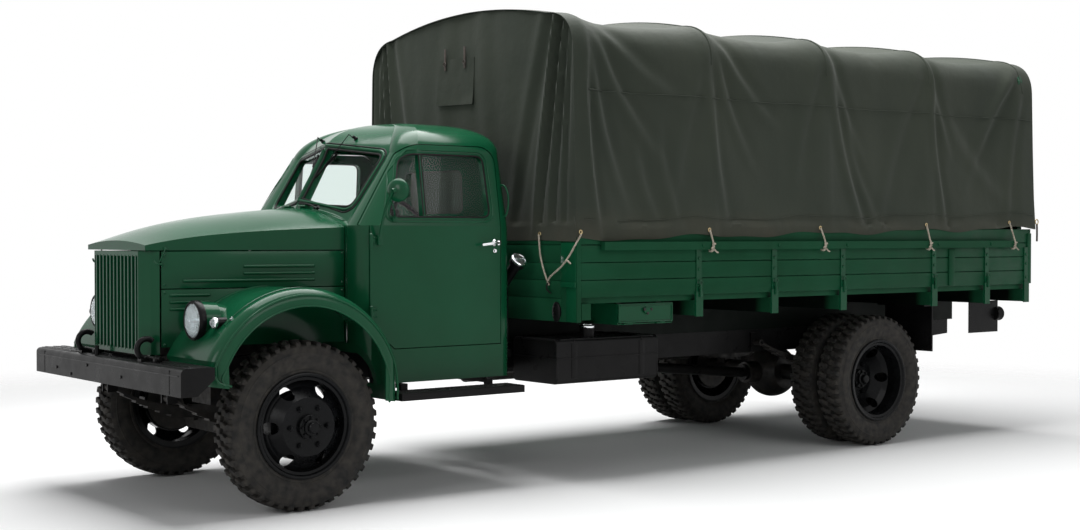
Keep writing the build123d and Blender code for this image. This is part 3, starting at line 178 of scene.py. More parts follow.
def new_finish(name, shader, tones=None, gloss=None, dust=None, bump=None):
    """A finish: shader values, tones (scale, dark, light, detail), gloss (scale, low, high),
    dust (colour, height, amount) and bump (texture, values, strength, distance, settings)."""
    material, tree = node_material(name, shader)
    place = truck_place(tree)
    if tones:
        colour = tint(tree, place, *tones)
        if dust:
            colour = mixed(tree, low_share(tree, place, 0.0, *dust[1:], (14, 8)), colour, (*dust[0], 1))
        fill(tree, tree.nodes["Principled BSDF"], {"Base Color": colour})
    if gloss:
        uneven_gloss(tree, place, *gloss)
    if bump:
        kind, values, strength, distance, *settings = bump
        texture = add_node(tree, f"Tex{kind}", {**values, "Vector": place}, **dict(settings))
        relief(tree, texture.outputs["Distance" if kind == "Voronoi" else "Fac"], strength, distance)
    return material


def dress(finish, *names):
    """Give CAD nodes a finish."""
    for name in names:
        for place_in_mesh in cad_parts[name].material_slots:
            place_in_mesh.material = finish


green_enamel = new_finish(
    "green_enamel", {"IOR": 1.27}, (2.2, (0.004, 0.07, 0.028), (0.0055, 0.083, 0.035)),
    (5.0, 0.12, 0.22), ((0.09, 0.085, 0.07), 1.1, 0.22), ("Noise", {"Scale": 160}, 0.04, 0.0006))
dress(green_enamel, "bonnet", "bonnet_sides", "grille_shell", "cab_shell", "cab_floor", "dashboard",
      "tool_box", "tool_box_lid", "hoops", "side_irons")
for side, _ in sides:
    dress(green_enamel, f"front_fender_{side}", f"door_{side}")


# Painted boards of the cargo body
# Planed pine planks under the same green, brushed on and more matt. The grain and a few raised knots still
# show through the paint. The bearers under the floor are green at their ends; further in, under the body,
# painted shade darkens them to near black.

board_paint = new_finish(
    "board_paint", {"IOR": 1.16}, (3.0, (0.0065, 0.056, 0.024), (0.01, 0.074, 0.034)),
    (9.0, 0.3, 0.48), ((0.09, 0.085, 0.07), 1.3, 0.15))
tree = board_paint.node_tree
stretched = add_node(tree, "Mapping", {"Scale": (1.6, 40, 40), "Vector": truck_place(tree)})
grain = add_node(tree, "TexNoise", {"Scale": 3.0, "Detail": 8, "Vector": stretched.outputs[0]})
relief(tree, grain.outputs["Fac"], 0.25, 0.002)
dress(board_paint, "bed_floor", "front_board", "side_boards", "side_rails", "tailgate")

# Painted shade: the bearers turn from green to near black within 1.0 m of the middle, where they lie in shade
# under the body, and only their outer ends keep the green.
bearer_painted_shade = board_paint.copy()
bearer_painted_shade.name = "bearer_painted_shade"
tree = bearer_painted_shade.node_tree
shader = tree.nodes["Principled BSDF"]
across = add_node(tree, "SeparateXYZ", {0: truck_place(tree)}).outputs["Y"]
outwards = add_node(tree, "Math", {0: across}, operation="ABSOLUTE").outputs[0]
unshaded_end_share = add_node(tree, "MapRange", {"From Min": 1.0, "From Max": 1.06,
                                        "Value": outwards}).outputs["Result"]
green = shader.inputs["Base Color"].links[0].from_socket
fill(tree, shader, {"Base Color": mixed(tree, unshaded_end_share, (0.0035, 0.006, 0.0045, 1), green)})
dress(bearer_painted_shade, "bed_bearers")


# Black enamel of the chassis
# Gloss black brushed over frame, bumper, running boards and wheels, greyed a little by dust.

chassis_enamel = new_finish(
    "chassis_enamel", {"IOR": 1.2}, (6.0, (0.0045, 0.0045, 0.005), (0.0085, 0.0085, 0.009)),
    (11.0, 0.24, 0.42), ((0.07, 0.062, 0.05), 1.0, 0.16), ("Noise", {"Scale": 70}, 0.12, 0.001))
dress(chassis_enamel, "frame_rails", "cross_members", "front_bumper", "tow_hooks", "spring_hangers",
      "propeller_shaft", "fuel_tanks", "rear_hangings", "lamp_bodies", "steering_wheel", "running_boards",
      "door_fittings_left", "door_fittings_right")


# Cast iron and spring steel under the truck
# Axles, knuckles and the engine's castings: rough, dull and oily, with rust in the pits.

rough_iron = new_finish("rough_iron", {"Metallic": 0.4},
                        (18.0, (0.01, 0.01, 0.01), (0.03, 0.026, 0.022), 8), (30.0, 0.45, 0.75),
                        bump=("Noise", {"Scale": 240}, 0.35, 0.0015))
dress(rough_iron, "front_axle", "rear_axle", "track_rod", "leaf_springs", "engine_and_gearbox", "exhaust",
      "radiator", "knuckle_left", "knuckle_right")


# Glass of the windscreen, doors and lamps
# Flat drawn glass, faintly green, clean enough to see the seats through it.

window_glass = new_finish(
    "window_glass",
    {"Base Color": (0.86, 0.92, 0.9, 1), "Roughness": 0.02, "Transmission Weight": 1, "IOR": 1.02,
     "Coat Weight": 0.12, "Coat Roughness": 0.01}, bump=("Noise", {"Scale": 6}, 0.02, 0.002))
dress(window_glass, "cab_glass", "door_glass_left", "door_glass_right", "headlamp_lenses")


# Seat covering
# Dark brown leathercloth over springs, with a fine grain.

seat_cloth = new_finish(
    "seat_cloth", {"Roughness": 0.5}, (12.0, (0.03, 0.022, 0.016), (0.055, 0.042, 0.03)),
    bump=("Voronoi", {"Scale": 420}, 0.3, 0.0008))
dress(seat_cloth, "seat_pads")


# Tyre rubber
# Black rubber gone grey-brown with dust, darkest in the grooves.

tyre_rubber = new_finish(
    "tyre_rubber", {"IOR": 1.25}, (22.0, (0.018, 0.018, 0.018), (0.046, 0.042, 0.037), 8),
    (40.0, 0.6, 0.85), bump=("Noise", {"Scale": 180, "Detail": 6}, 0.3, 0.0012))
for side, _ in sides:
    dress(tyre_rubber, f"front_tyre_{side}", f"rear_tyres_{side}")


# Tyres
# Cross-ply truck tyres, 920 mm across, moulded in black rubber that has gone grey with dust. Each half of the
# tread is a ring of crooked bars, and the bars of the two halves stand half a pitch apart.

def deselect():
    """Nothing is selected, so that the next operator acts on one piece alone."""
    bpy.ops.object.select_all(action="DESELECT")


def only(piece):
    """Select one piece and make it the active one."""
    deselect()
    bpy.context.view_layer.objects.active = piece
    piece.select_set(True)


def edit_whole():
    """Open the active piece's mesh with everything in it selected."""
    bpy.ops.object.mode_set(mode="EDIT")
    bpy.ops.mesh.select_all(action="SELECT")


def modify(piece, kind, **settings):
    """Add a modifier to a piece and apply it at once."""
    only(piece)
    step = piece.modifiers.new(kind.lower(), kind)
    for name, value in settings.items():
        setattr(step, name, value)
    bpy.ops.object.modifier_apply(modifier=step.name)


def outward(piece):
    """Merge a closed piece's doubled points and turn all its faces outwards."""
    only(piece)
    edit_whole()
    bpy.ops.mesh.remove_doubles(threshold=0.00002)
    bpy.ops.mesh.normals_make_consistent(inside=False)
    bpy.ops.object.mode_set(mode="OBJECT")


def finish_piece(piece, finish, body="chassis", smooth=40):
    """Smooth a piece's rounded faces, give it its finish, and fix it to a body."""
    only(piece)
    bpy.ops.object.transform_apply(location=True, rotation=True, scale=True)
    bpy.ops.object.shade_smooth_by_angle(angle=radians(smooth))
    piece.data.materials.clear()
    piece.data.materials.append(finish)
    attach(piece, body)
    return piece


def ringed(name, rings, sides=48):
    """A round piece about its own Z: a circle drawn out ring by ring, each ring a (radius, height)."""
    deselect()
    bpy.ops.mesh.primitive_circle_add(vertices=sides, radius=rings[0][0], location=(0, 0, rings[0][1]))
    piece = bpy.context.object
    piece.name = name
    bpy.ops.object.transform_apply(location=True)
    edit_whole()
    for (radius, height), (next_radius, next_height) in zip(rings, rings[1:]):
        bpy.ops.mesh.extrude_edges_move(TRANSFORM_OT_translate={"value": (0, 0, next_height - height)})
        grown = next_radius / radius
        bpy.ops.transform.resize(value=(grown, grown, 1), center_override=(0, 0, next_height))
    bpy.ops.mesh.select_all(action="SELECT")
    bpy.ops.mesh.remove_doubles(threshold=0.00002)
    bpy.ops.mesh.fill_holes(sides=0)
    bpy.ops.mesh.normals_make_consistent(inside=False)
    bpy.ops.object.mode_set(mode="OBJECT")
    return piece


def spun_copies(piece, count, axis=(0, 0, 1), centre=(0, 0, 0)):
    """Copies of everything in a piece, evenly spaced round an axis."""
    only(piece)
    bpy.ops.object.transform_apply(location=True, rotation=True, scale=True)
    edit_whole()
    bpy.ops.mesh.spin(steps=count - 1, dupli=True, angle=2 * pi * (count - 1) / count, center=centre,
                      axis=axis)
    bpy.ops.object.mode_set(mode="OBJECT")


def joined(*parts):
    """Several meshes as one piece."""
    only(parts[0])
    for part in parts[1:]:
        part.select_set(True)
    bpy.ops.object.join()
    return parts[0]


def copy_of(piece, name):
    """A copy of a piece with a mesh of its own."""
    only(piece)
    bpy.ops.object.duplicate()
    copy = bpy.context.object
    copy.name = name
    return copy


def mirrored(piece, name):
    """The piece's mirror image across the truck, with its faces outwards again."""
    copy = copy_of(piece, name)
    bpy.ops.object.transform_apply(location=True, rotation=True, scale=True)
    copy.scale = (1, -1, 1)
    bpy.ops.object.transform_apply(location=False, rotation=False, scale=True)
    edit_whole()
    bpy.ops.mesh.flip_normals()
    bpy.ops.object.mode_set(mode="OBJECT")
    return copy


front_axle_x, wheel_height = 2.722, 0.46
tread_radius, tread_base, lug_number = 0.46, 0.438, 44


def tread_bar():
    """One bar of the tread: a bevelled block drawn out sideways in a crooked line and down the shoulder."""
    deselect()
    bpy.ops.mesh.primitive_cube_add(size=1, location=(0, 0.016, (tread_base + tread_radius) / 2 - 0.004),
                                    scale=(0.034, 0.026, tread_radius - tread_base + 0.008))
    bar = bpy.context.object
    bpy.ops.object.transform_apply(location=True, scale=True)
    bpy.ops.object.mode_set(mode="EDIT")
    bpy.ops.mesh.select_mode(type="FACE")
    bpy.ops.mesh.select_all(action="DESELECT")
    shape = bmesh.from_edit_mesh(bar.data)
    max(shape.faces, key=lambda face: face.normal.y).select = True
    bmesh.update_edit_mesh(bar.data)
    for slide, out, drop, taper in ((0.016, 0.024, -0.001, 0.92), (-0.01, 0.024, -0.003, 1.0),
                                    (0.006, 0.012, -0.006, 0.95), (0.0, 0.003, -0.021, 0.8)):
        bpy.ops.mesh.extrude_region_move(TRANSFORM_OT_translate={"value": (slide, out, drop)})
        bpy.ops.transform.resize(value=(taper, 1, 1))
    bpy.ops.mesh.select_all(action="SELECT")
    bpy.ops.mesh.bevel(offset=0.0028, segments=1, affect="EDGES")
    bpy.ops.mesh.normals_make_consistent(inside=False)
    bpy.ops.object.mode_set(mode="OBJECT")
    return bar


def tyre_carcass(name):
    """The tyre without its bars, from bead to bead, with a rim rib and a wear line on each side wall."""
    side = [(0.2575, 0.076), (0.289, 0.0795), (0.296, 0.083), (0.303, 0.0832), (0.306, 0.081), (0.312, 0.085),
            (0.33, 0.0945), (0.352, 0.1), (0.378, 0.102), (0.392, 0.1015), (0.3935, 0.1032),
            (0.399, 0.103), (0.4005, 0.1008), (0.416, 0.0985), (0.43, 0.0925), (tread_base, 0.08)]
    rings = side + [(tread_base + 0.0015, 0.0)] + [(radius, -y) for radius, y in reversed(side)] + side[:1]
    return ringed(name, rings, 88)


def whole_tyre(name):
    """One tyre about its own Y axis."""
    carcass = tyre_carcass(name)
    only(carcass)
    carcass.rotation_euler = (radians(90), 0, 0)
    bpy.ops.object.transform_apply(rotation=True)
    left_bars = tread_bar()
    right_bars = copy_of(left_bars, "right_bars")
    right_bars.rotation_euler = (0, 0, pi)
    bpy.ops.object.transform_apply(rotation=True)
    right_bars.rotation_euler = (0, pi / lug_number, 0)
    bpy.ops.object.transform_apply(rotation=True)
    for bars in (left_bars, right_bars):
        spun_copies(bars, lug_number, axis=(0, 1, 0))
    return joined(carcass, left_bars, right_bars)


def set_tyre(name, place, turn, body, node):
    """Put a copy of the tyre at a wheel, turned about its axle and faced outwards."""
    tyre = copy_of(pattern_tyre, name)
    tyre.rotation_euler = (0, radians(turn), 0 if place[1] > 0 else pi)
    bpy.ops.object.transform_apply(rotation=True)
    tyre.location = place
    finish_piece(tyre, tyre_rubber, body, 34)
    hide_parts(node)


front_track, rear_track, twin_offset = 0.795, 0.825, 0.126
rear_axle_x = front_axle_x - 4.52
pattern_tyre = whole_tyre("pattern_tyre")
for side, sign in sides:
    set_tyre(f"front_tyre_tread_{side}", (front_axle_x, sign * front_track, wheel_height), 3 + sign,
             f"front_wheel_{side}", f"front_tyre_{side}")
    for number, offset in enumerate((-twin_offset, twin_offset)):
        set_tyre(f"rear_tyre_tread_{side}_{number}",
                 (rear_axle_x, sign * (rear_track + offset), wheel_height), 5 * number + sign,
                 f"rear_wheels_{side}", f"rear_tyres_{side}")
only(pattern_tyre)
bpy.ops.object.delete()


# Rims, nuts and hub caps
# Pressed steel discs riveted into flat-base rims, sprayed black. A split lock ring holds the tyre, six nuts
# hold each disc to its hub, and a turned cap keeps the grease in.

wheel_black = new_finish(
    "wheel_black", {"IOR": 1.2}, (8.0, (0.0035, 0.0038, 0.0045), (0.006, 0.0065, 0.0075)),
    (14.0, 0.16, 0.34), ((0.06, 0.055, 0.045), 0.9, 0.08))
for side, _ in sides:
    dress(wheel_black, f"front_wheel_{side}", f"rear_wheels_{side}")


def hex_nut(radius, height):
    """One nut with a chamfered top on its stud, about Z."""
    nut = ringed("nut", [(radius, 0), (radius, 0.7 * height), (0.86 * radius, height),
                         (0.5 * radius, height)], 6)
    stud = ringed("stud", [(0.48 * radius, 0.5 * height), (0.48 * radius, 1.5 * height),
                           (0.36 * radius, 1.65 * height)], 12)
    return joined(nut, stud)


nut_circle, front_face = 0.112, 0.126


def wheel_trim(name, face, out, rim):
    """Lock ring, nuts, hub flange bolts and cap of one wheel about Z: its disc face, hub and rim heights."""
    ring_section = [(0.262, 0.0795), (0.27, 0.09), (0.279, 0.0925), (0.286, 0.0905), (0.2885, 0.084),
                    (0.287, 0.08), (0.262, 0.0795)]
    lock_ring = ringed("lock_ring", [(radius, rim + height) for radius, height in ring_section], 96)
    nuts = hex_nut(0.0165, 0.016)
    nuts.location = (nut_circle, 0, face)
    spun_copies(nuts, 6)
    bolts = hex_nut(0.0085, 0.008)
    bolts.location = (0.053, 0, face + out)
    spun_copies(bolts, 8)
    flange = ringed("hub_flange", [(0.066, face), (0.066, face + out - 0.002), (0.064, face + out),
                                   (0.04, face + out)], 48)
    cap = ringed(
        "hub_cap", [(0.045, face + out - 0.002), (0.043, face + out + 0.016), (0.036, face + out + 0.02),
        (0.032, face + out + 0.021), (0.031, face + out + 0.04), (0.027, face + out + 0.046),
        (0.01, face + out + 0.048)], 40)
    trim = joined(lock_ring, nuts, bolts, flange, cap)
    trim.name = name
    return trim


for side, sign in sides:
    for place_x, track, face, out, rim, body in (
            (front_axle_x, front_track, front_face, 0.022, 0.0, f"front_wheel_{side}"),
            (rear_axle_x, rear_track, 0.008, 0.048, twin_offset, f"rear_wheels_{side}")):
        trim = wheel_trim(f"{body}_trim", face, out, rim)
        trim.rotation_euler = (-sign * radians(90), 0, 0)
        bpy.ops.object.transform_apply(rotation=True)
        trim.location = (place_x, sign * track, wheel_height)
        finish_piece(trim, wheel_black, body, 30)


# Bumper and tow hooks
# A folded steel channel with a chequered tread plate screwed on top, stiffened by pressed ribs at its ends.
# The forged hooks are bolted down through the plate.

bumper_front, bumper_top = 0.771, 0.812


def spot(station, y, height):
    """A place on the truck from its distance ahead of the front axle, in metres."""
    return Vector((front_axle_x + station, y, height))


def spots(*places):
    """Several places on the truck."""
    return [spot(*place) for place in places]


def block_piece(name, low, high, edge=0.002, segments=2):
    """A bevelled block between two corners."""
    deselect()
    middle = [(a + b) / 2 for a, b in zip(low, high)]
    size = [abs(b - a) for a, b in zip(low, high)]
    bpy.ops.mesh.primitive_cube_add(size=1, location=middle, scale=size)
    piece = bpy.context.object
    piece.name = name
    bpy.ops.object.transform_apply(location=True, scale=True)
    edit_whole()
    bpy.ops.mesh.bevel(offset=edge, segments=segments, affect="EDGES")
    bpy.ops.object.mode_set(mode="OBJECT")
    return piece


def bar_piece(name, points, radius, sides=6, closed=False, smooth=True):
    """A round bar or pipe that runs through points."""
    deselect()
    bpy.ops.curve.primitive_bezier_curve_add(location=(0, 0, 0))
    path = bpy.context.object
    path.name = name
    path.data.splines.clear()
    line = path.data.splines.new("BEZIER" if smooth else "POLY")
    knots = line.bezier_points if smooth else line.points
    knots.add(len(points) - 1)
    for knot, point in zip(knots, points):
        if smooth:
            knot.co = point
            knot.handle_left_type = knot.handle_right_type = "AUTO"
        else:
            knot.co = (*point, 1)
    line.use_cyclic_u = closed
    line.resolution_u = 6
    path.data.dimensions = "3D"
    path.data.bevel_depth = radius
    path.data.bevel_resolution = sides // 2 - 1
    path.data.use_fill_caps = True
    bpy.ops.object.convert(target="MESH")
    outward(path)
    return path


def copies_at(piece, places):
    """The piece at each of several places, joined into one."""
    parts = [piece]
    for place in places[1:]:
        copy = copy_of(piece, "copy")
        copy.location = Vector(place) - Vector(places[0])
        parts.append(copy)
    whole = joined(*parts)
    whole.location += Vector(places[0])
    only(whole)
    bpy.ops.object.transform_apply(location=True)
    return whole


def facing(piece, direction):
    """Turn a piece that is modelled along Z to face a direction."""
    piece.rotation_euler = Vector(direction).to_track_quat("Z", "Y").to_euler()
    only(piece)
    bpy.ops.object.transform_apply(rotation=True)
    return piece


def round_piece(name, rings, place, aim, sides=40):
    """A round piece at a place, with its axis along a direction."""
    piece = facing(ringed(name, rings, sides), aim)
    piece.location = place
    return piece


def bolts_at(name, places, direction, radius=0.008, finish=chassis_enamel, body="chassis"):
    """Hexagon heads of one size in a list of places, all facing one way."""
    head = ringed(name, [(radius, -0.002), (radius, 0.45 * radius), (0.84 * radius, 0.62 * radius),
                         (0.3 * radius, 0.64 * radius)], 6)
    facing(head, direction)
    head = copies_at(head, places)
    head.name = name
    return finish_piece(head, finish, body, 25)


def ribbed_plate(name, low, high, rib=0.0022, pitch=0.034):
    """A tread plate: a thin plate with short raised bars in alternate directions."""
    plate = block_piece(name, low, high, 0.0012)
    top = high[2]
    bar = block_piece("tread_bar", (-0.012, -0.0028, top - 0.001), (0.012, 0.0028, top + rib), 0.0013, 1)
    columns = max(1, int((high[0] - low[0] - 0.02) / pitch))
    rows = max(1, int((high[1] - low[1] - 0.02) / pitch))
    places = [(low[0] + (high[0] - low[0]) * (column + 0.5) / columns,
               low[1] + (high[1] - low[1]) * (row + 0.5) / rows, 0)
              for column in range(columns) for row in range(rows)]
    turned = copy_of(bar, "turned_bar")
    turned.rotation_euler = (0, 0, radians(50))
    bar.rotation_euler = (0, 0, radians(-50))
    halves = ((bar, places[0::2]), (turned, places[1::2]))
    parts = [copies_at(shape, chosen) for shape, chosen in halves if chosen]
    return finish_piece(joined(plate, *parts), chassis_enamel, "chassis", 30)


for part, low, high in (("left", 0.475, 0.992), ("right", -0.992, -0.475), ("middle", -0.345, 0.345)):
    ribbed_plate(f"bumper_tread_{part}", spot(0.592, low, bumper_top), spot(0.742, high, bumper_top + 0.003))
crease_line = [spot(bumper_front - 0.002, y, 0.776) for y in (-0.97, 0.97)]
crease = bar_piece("bumper_crease", crease_line, 0.005, smooth=False)
finish_piece(crease, chassis_enamel)
end_seams = [block_piece("end_seam", spot(bumper_front - 0.01, y, 0.675),
                         spot(bumper_front + 0.002, y + 0.004, 0.8)) for y in (0.862, -0.866)]
finish_piece(joined(*end_seams), chassis_enamel)
bolts_at("bumper_bolts", [spot(bumper_front, y, z)
                          for y, z in ((-0.669, 0.715), (-0.214, 0.756), (-0.453, 0.69), (0.258, 0.722))],
         (1, 0, 0), 0.009)
bolts_at("hook_bolts", [spot(x, sign * 0.41, bumper_top + 0.016) for sign in (1, -1)
                        for x in (0.617, 0.64)], (0, 0, 1), 0.01)

hook_bars = []
for y in (-0.41, 0.41):
    hook_bars += [
        bar_piece("hook_shackles", spots((0.69, y - 0.03, 0.836), (0.69, y + 0.165, 0.834)), 0.0085),
        block_piece("lug", spot(0.668, y + 0.12, 0.812), spot(0.712, y + 0.15, 0.838), 0.004)]
hook_bars.append(bar_piece("post", spots((0.735, -0.16, 0.812), (0.735, -0.16, 0.868)), 0.013))
finish_piece(joined(*hook_bars), chassis_enamel)


# Front fenders
# Deep-drawn steel with a wired edge round the wheel opening. Beads stiffen the flank and the crown.

arch_centre, arch_radius, flank_y = (0.02, 0.59), 0.612, 0.958


def arch_point(radius, degrees_round, y):
    """A place on the fender's arch, with the angle counted from straight ahead."""
    turn = radians(degrees_round)
    return spot(arch_centre[0] + radius * cos(turn), y, arch_centre[1] + radius * sin(turn))


flank_bead = [spot(0.505, flank_y, 0.712), spot(0.545, flank_y - 0.006, 0.738)]
flank_bead += [arch_point(0.577, angle, flank_y - 0.008) for angle in range(22, 166, 6)]
flank_bead += [spot(-0.54, flank_y - 0.004, 0.68), spot(-0.541, flank_y - 0.003, 0.575)]
edge_wire = [spot(0.47, flank_y - 0.002, 0.706)]
edge_wire += [arch_point(0.52, angle, flank_y - 0.002) for angle in range(16, 172, 8)]
edge_wire += [spot(-0.487, flank_y - 0.002, 0.64), spot(-0.487, flank_y - 0.002, 0.562)]
crown_bead = [arch_point(arch_radius + 0.001, angle, 0.505) for angle in range(52, 128, 6)]
crown_line = [arch_point(arch_radius + 0.001, angle, 0.862) for angle in range(44, 162, 6)]
fender_beads = joined(bar_piece("fender_beads", flank_bead, 0.0062),
                      bar_piece("edge_wire", edge_wire, 0.006), bar_piece("crown_bead", crown_bead, 0.0055),
                      bar_piece("crown_line", crown_line, 0.0045))
finish_piece(fender_beads, green_enamel)
finish_piece(mirrored(fender_beads, "fender_beads_right"), green_enamel)


# Headlamps
# A silvered reflector with its bulb behind a domed, fluted glass, in a pressed rim sprayed black. A small
# side lamp stands on each fender.

lamp_place = spot(0.505, 0.64, 1.035)

silver = new_finish(
    "silver", {"Base Color": (0.82, 0.84, 0.86, 1), "Metallic": 1}, gloss=(20.0, 0.1, 0.22))
fluted_glass = new_finish(
    "fluted_glass",
    {"Base Color": (0.9, 0.95, 0.96, 1), "Roughness": 0.04, "Transmission Weight": 0.9, "IOR": 1.3},
    bump=("Wave", {"Scale": 26}, 0.5, 0.003, ("bands_direction", "Y")))


def lamp_ring(name, rings, place, finish, sides=56):
    """A round lamp piece that faces forward."""
    return finish_piece(round_piece(name, rings, place, (1, 0, 0), sides), finish, "chassis", 30)


for side, sign in sides:
    place = Vector((lamp_place.x, sign * lamp_place.y, lamp_place.z))
    lamp_ring(
        f"headlamp_rim_{side}", [(0.1045, -0.002), (0.1065, 0.004), (0.107, 0.02), (0.105, 0.03),
        (0.1, 0.036), (0.0935, 0.036), (0.0915, 0.03), (0.0915, 0.0265), (0.1005, 0.0265),
        (0.1045, -0.002)], place, chassis_enamel)
    lamp_ring(
        f"headlamp_reflector_{side}", [(0.089, 0.0285), (0.078, 0.0215), (0.056, 0.015), (0.03, 0.0118),
        (0.014, 0.0112), (0.013, 0.0104), (0.056, 0.011), (0.089, 0.024), (0.089, 0.0285)], place, silver)
    lamp_ring(f"headlamp_bulb_{side}", [(0.013, 0.0106), (0.013, 0.016), (0.01, 0.023),
                                        (0.003, 0.0262)], place, silver, 24)
    lens = lamp_ring(
        f"headlamp_lens_{side}", [(0.0912, 0.027), (0.0905, 0.033), (0.078, 0.041), (0.056, 0.0475),
        (0.03, 0.051), (0.008, 0.052), (0.008, 0.049), (0.03, 0.048), (0.056, 0.0445), (0.078, 0.038),
        (0.088, 0.031), (0.088, 0.027), (0.0912, 0.027)], place, fluted_glass)
    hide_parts("headlamp_lenses")
    place = spot(0.492, sign * 0.806, 1.028)
    lamp_ring(f"side_lamp_rim_{side}", [(0.0285, -0.062), (0.015, -0.078), (0.01, -0.08),
                                        (0.01, -0.06), (0.0285, -0.05), (0.0285, -0.062)], place,
              chassis_enamel, 32)
    lamp_ring(f"side_lamp_bezel_{side}", [(0.029, -0.008), (0.031, -0.002), (0.031, 0.006),
                                          (0.025, 0.01), (0.023, 0.008), (0.029, -0.008)], place, silver,
              32)
    lamp_ring(f"side_lamp_glass_{side}", [(0.024, 0.002), (0.023, 0.01), (0.018, 0.019), (0.009, 0.025),
                                          (0.002, 0.0262)], place, fluted_glass, 32)
bolts_at("side_lamp_bolts", [spot(0.425, sign * 0.868, 1.052) for sign in (1, -1)], (0.7, 0, 0.7), 0.01,
         silver)


# Bonnet sides
# Two pressed panels on each side of the engine, bolted to the cowl and the radiator shell, with long ribs.
# The upper panel lifts out for work on the engine.

side_front_corner, side_rear_corner = (0.611, 0.411), (-0.425, 0.582)
side_length = hypot(side_front_corner[0] - side_rear_corner[0], side_front_corner[1] - side_rear_corner[1])
side_turn = atan2(side_rear_corner[1] - side_front_corner[1], side_rear_corner[0] - side_front_corner[0])


def side_panel(name, start, end, low, high):
    """A panel of the engine's side, laid out along X from its front end with its face towards -Y."""
    return block_piece(name, (start, -0.0022, low), (end, 0.007, high), 0.0016)


panels = [side_panel("bonnet_side_panels", 0.004, side_length - 0.003, 1.1975, 1.3965),
          side_panel("lower", 0.004, side_length - 0.003, 0.882, 1.1925)]
# start, end, height of each pressed rib
for start, end, height in ((0.456, 0.871, 1.3135), (0.456, 0.871, 1.275), (0.117, 0.871, 1.2375),
                           (0.046, 0.271, 1.161), (0.046, 0.271, 1.1235), (0.046, 0.271, 1.086)):
    low, high = height - 0.0085, height + 0.0085
    panels.append(block_piece("rib", (start, -0.0125, low), (end, 0.001, high), 0.0075, 3))
for along, height in ((0.02, 1.374), (0.02, 1.218), (0.02, 1.175), (0.02, 0.896), (1.034, 1.384),
                      (1.034, 1.219), (1.034, 1.174)):
    panels.append(round_piece("screw", [(0.0072, 0), (0.0072, 0.003), (0.005, 0.0052), (0.0015, 0.0058)],
                              (along, -0.0022, height), (0, -1, 0), 12))
side_panels = joined(*panels)
side_panels.rotation_euler = (0, 0, side_turn)
side_panels.location = spot(*side_front_corner, 0)
finish_piece(side_panels, green_enamel, "chassis", 30)
finish_piece(mirrored(side_panels, "bonnet_side_panels_right"), green_enamel, "chassis", 30)
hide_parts("bonnet_sides")
for side, sign in sides:
    hook = bar_piece(f"bonnet_latch_{side}", spots(
        (0.588, sign * 0.424, 1.414), (0.606, sign * 0.428, 1.378), (0.626, sign * 0.428, 1.338)), 0.0036)
    grip = bar_piece("grip", spots(
        (0.652, sign * 0.418, 1.35), (0.64, sign * 0.424, 1.332), (0.612, sign * 0.428, 1.328),
        (0.604, sign * 0.424, 1.318)), 0.005)
    low, high = sorted((sign * 0.408, sign * 0.424))
    keeper = block_piece("keeper", spot(0.578, low, 1.404), spot(0.598, high, 1.42), 0.003)
    finish_piece(joined(hook, grip, keeper), green_enamel)


# Windscreen and wipers
# Two flat panes in black rubber, inside a green frame screwed to the cab. Each wiper hangs from a spindle
# above its pane.

rubber_seal = new_finish(
    "rubber_seal", {"IOR": 1.25}, (30.0, (0.006, 0.006, 0.006), (0.014, 0.014, 0.013)),
    (40.0, 0.4, 0.6))


def on_skin(node, start, aim):
    """The place where a line from a point first meets a CAD node, and the surface's direction there."""
    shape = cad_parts[node]
    undo = shape.matrix_world.inverted()
    hit, place, normal, _ = shape.ray_cast(undo @ Vector(start), undo.to_3x3() @ Vector(aim))
    return (shape.matrix_world @ place, normal) if hit else (None, None)


def soft_loop(corners, radii, grow=0.0, pitch=0.05):
    """Points round a polygon with rounded corners, grown on every side."""
    turns = []
    for number, (corner, radius) in enumerate(zip(corners, radii)):
        here = Vector(corner)
        back = (Vector(corners[number - 1]) - here).normalized()
        ahead = (Vector(corners[(number + 1) % len(corners)]) - here).normalized()
        half = back.angle(ahead) / 2
        here -= (back + ahead).normalized() * grow / sin(half)
        reach = (radius + grow) * cos(half) / sin(half)
        turns.append([here + back * reach * (1 - step / 5) ** 2 + ahead * reach * (step / 5) ** 2
                      for step in range(6)])
    points = []
    for number, turn in enumerate(turns):
        points += turn
        following = turns[(number + 1) % len(turns)][0]
        spans = max(1, int((following - turn[-1]).length / pitch))
        points += [turn[-1].lerp(following, step / spans) for step in range(1, spans)]
    return points


def screen_point(y, z):
    """The place on the front of the cab at a given y and height, kept clear of the cowl's top."""
    cowl, _ = on_skin("cab_shell", spot(-0.455, y, 2.1), (0, 0, -1))
    return on_skin("cab_shell", spot(0.1, y, max(z, cowl.z + 0.004)), (-1, 0, 0))[0]


def screen_bead(name, corners, radii, grow, radius):
    """A closed bead on the front of the cab."""
    points = [screen_point(*point) for point in soft_loop(corners, radii, grow)]
    return bar_piece(name, [point for point in points if point], radius, smooth=False, closed=True)


pane_corners = [(0.03, 1.672), (0.03, 2.004), (0.486, 1.952), (0.462, 1.652)]
other_pane = [(-y, z) for y, z in reversed(pane_corners)]
both_panes = [(0, 2.006), (0.486, 1.952), (0.462, 1.652), (0, 1.672), (-0.462, 1.652), (-0.486, 1.952)]
both_radii = (0.1, 0.045, 0.045, 0.1, 0.045, 0.045)
screen_frame = joined(
    screen_bead("windscreen_frame", both_panes, both_radii, 0.021, 0.0105), bar_piece("centre_bar",
    [screen_point(0, 1.676 + 0.04 * step) for step in range(9)], 0.013))
finish_piece(screen_frame, green_enamel)
screen_rubber = joined(
    screen_bead("windscreen_rubber", pane_corners, (0.006, 0.006, 0.045, 0.045), 0.003, 0.0072),
    screen_bead("rubber", other_pane, (0.045, 0.045, 0.006, 0.006), 0.003, 0.0072),
    screen_bead("rubber", both_panes, both_radii, 0.036, 0.0052))
finish_piece(screen_rubber, rubber_seal)


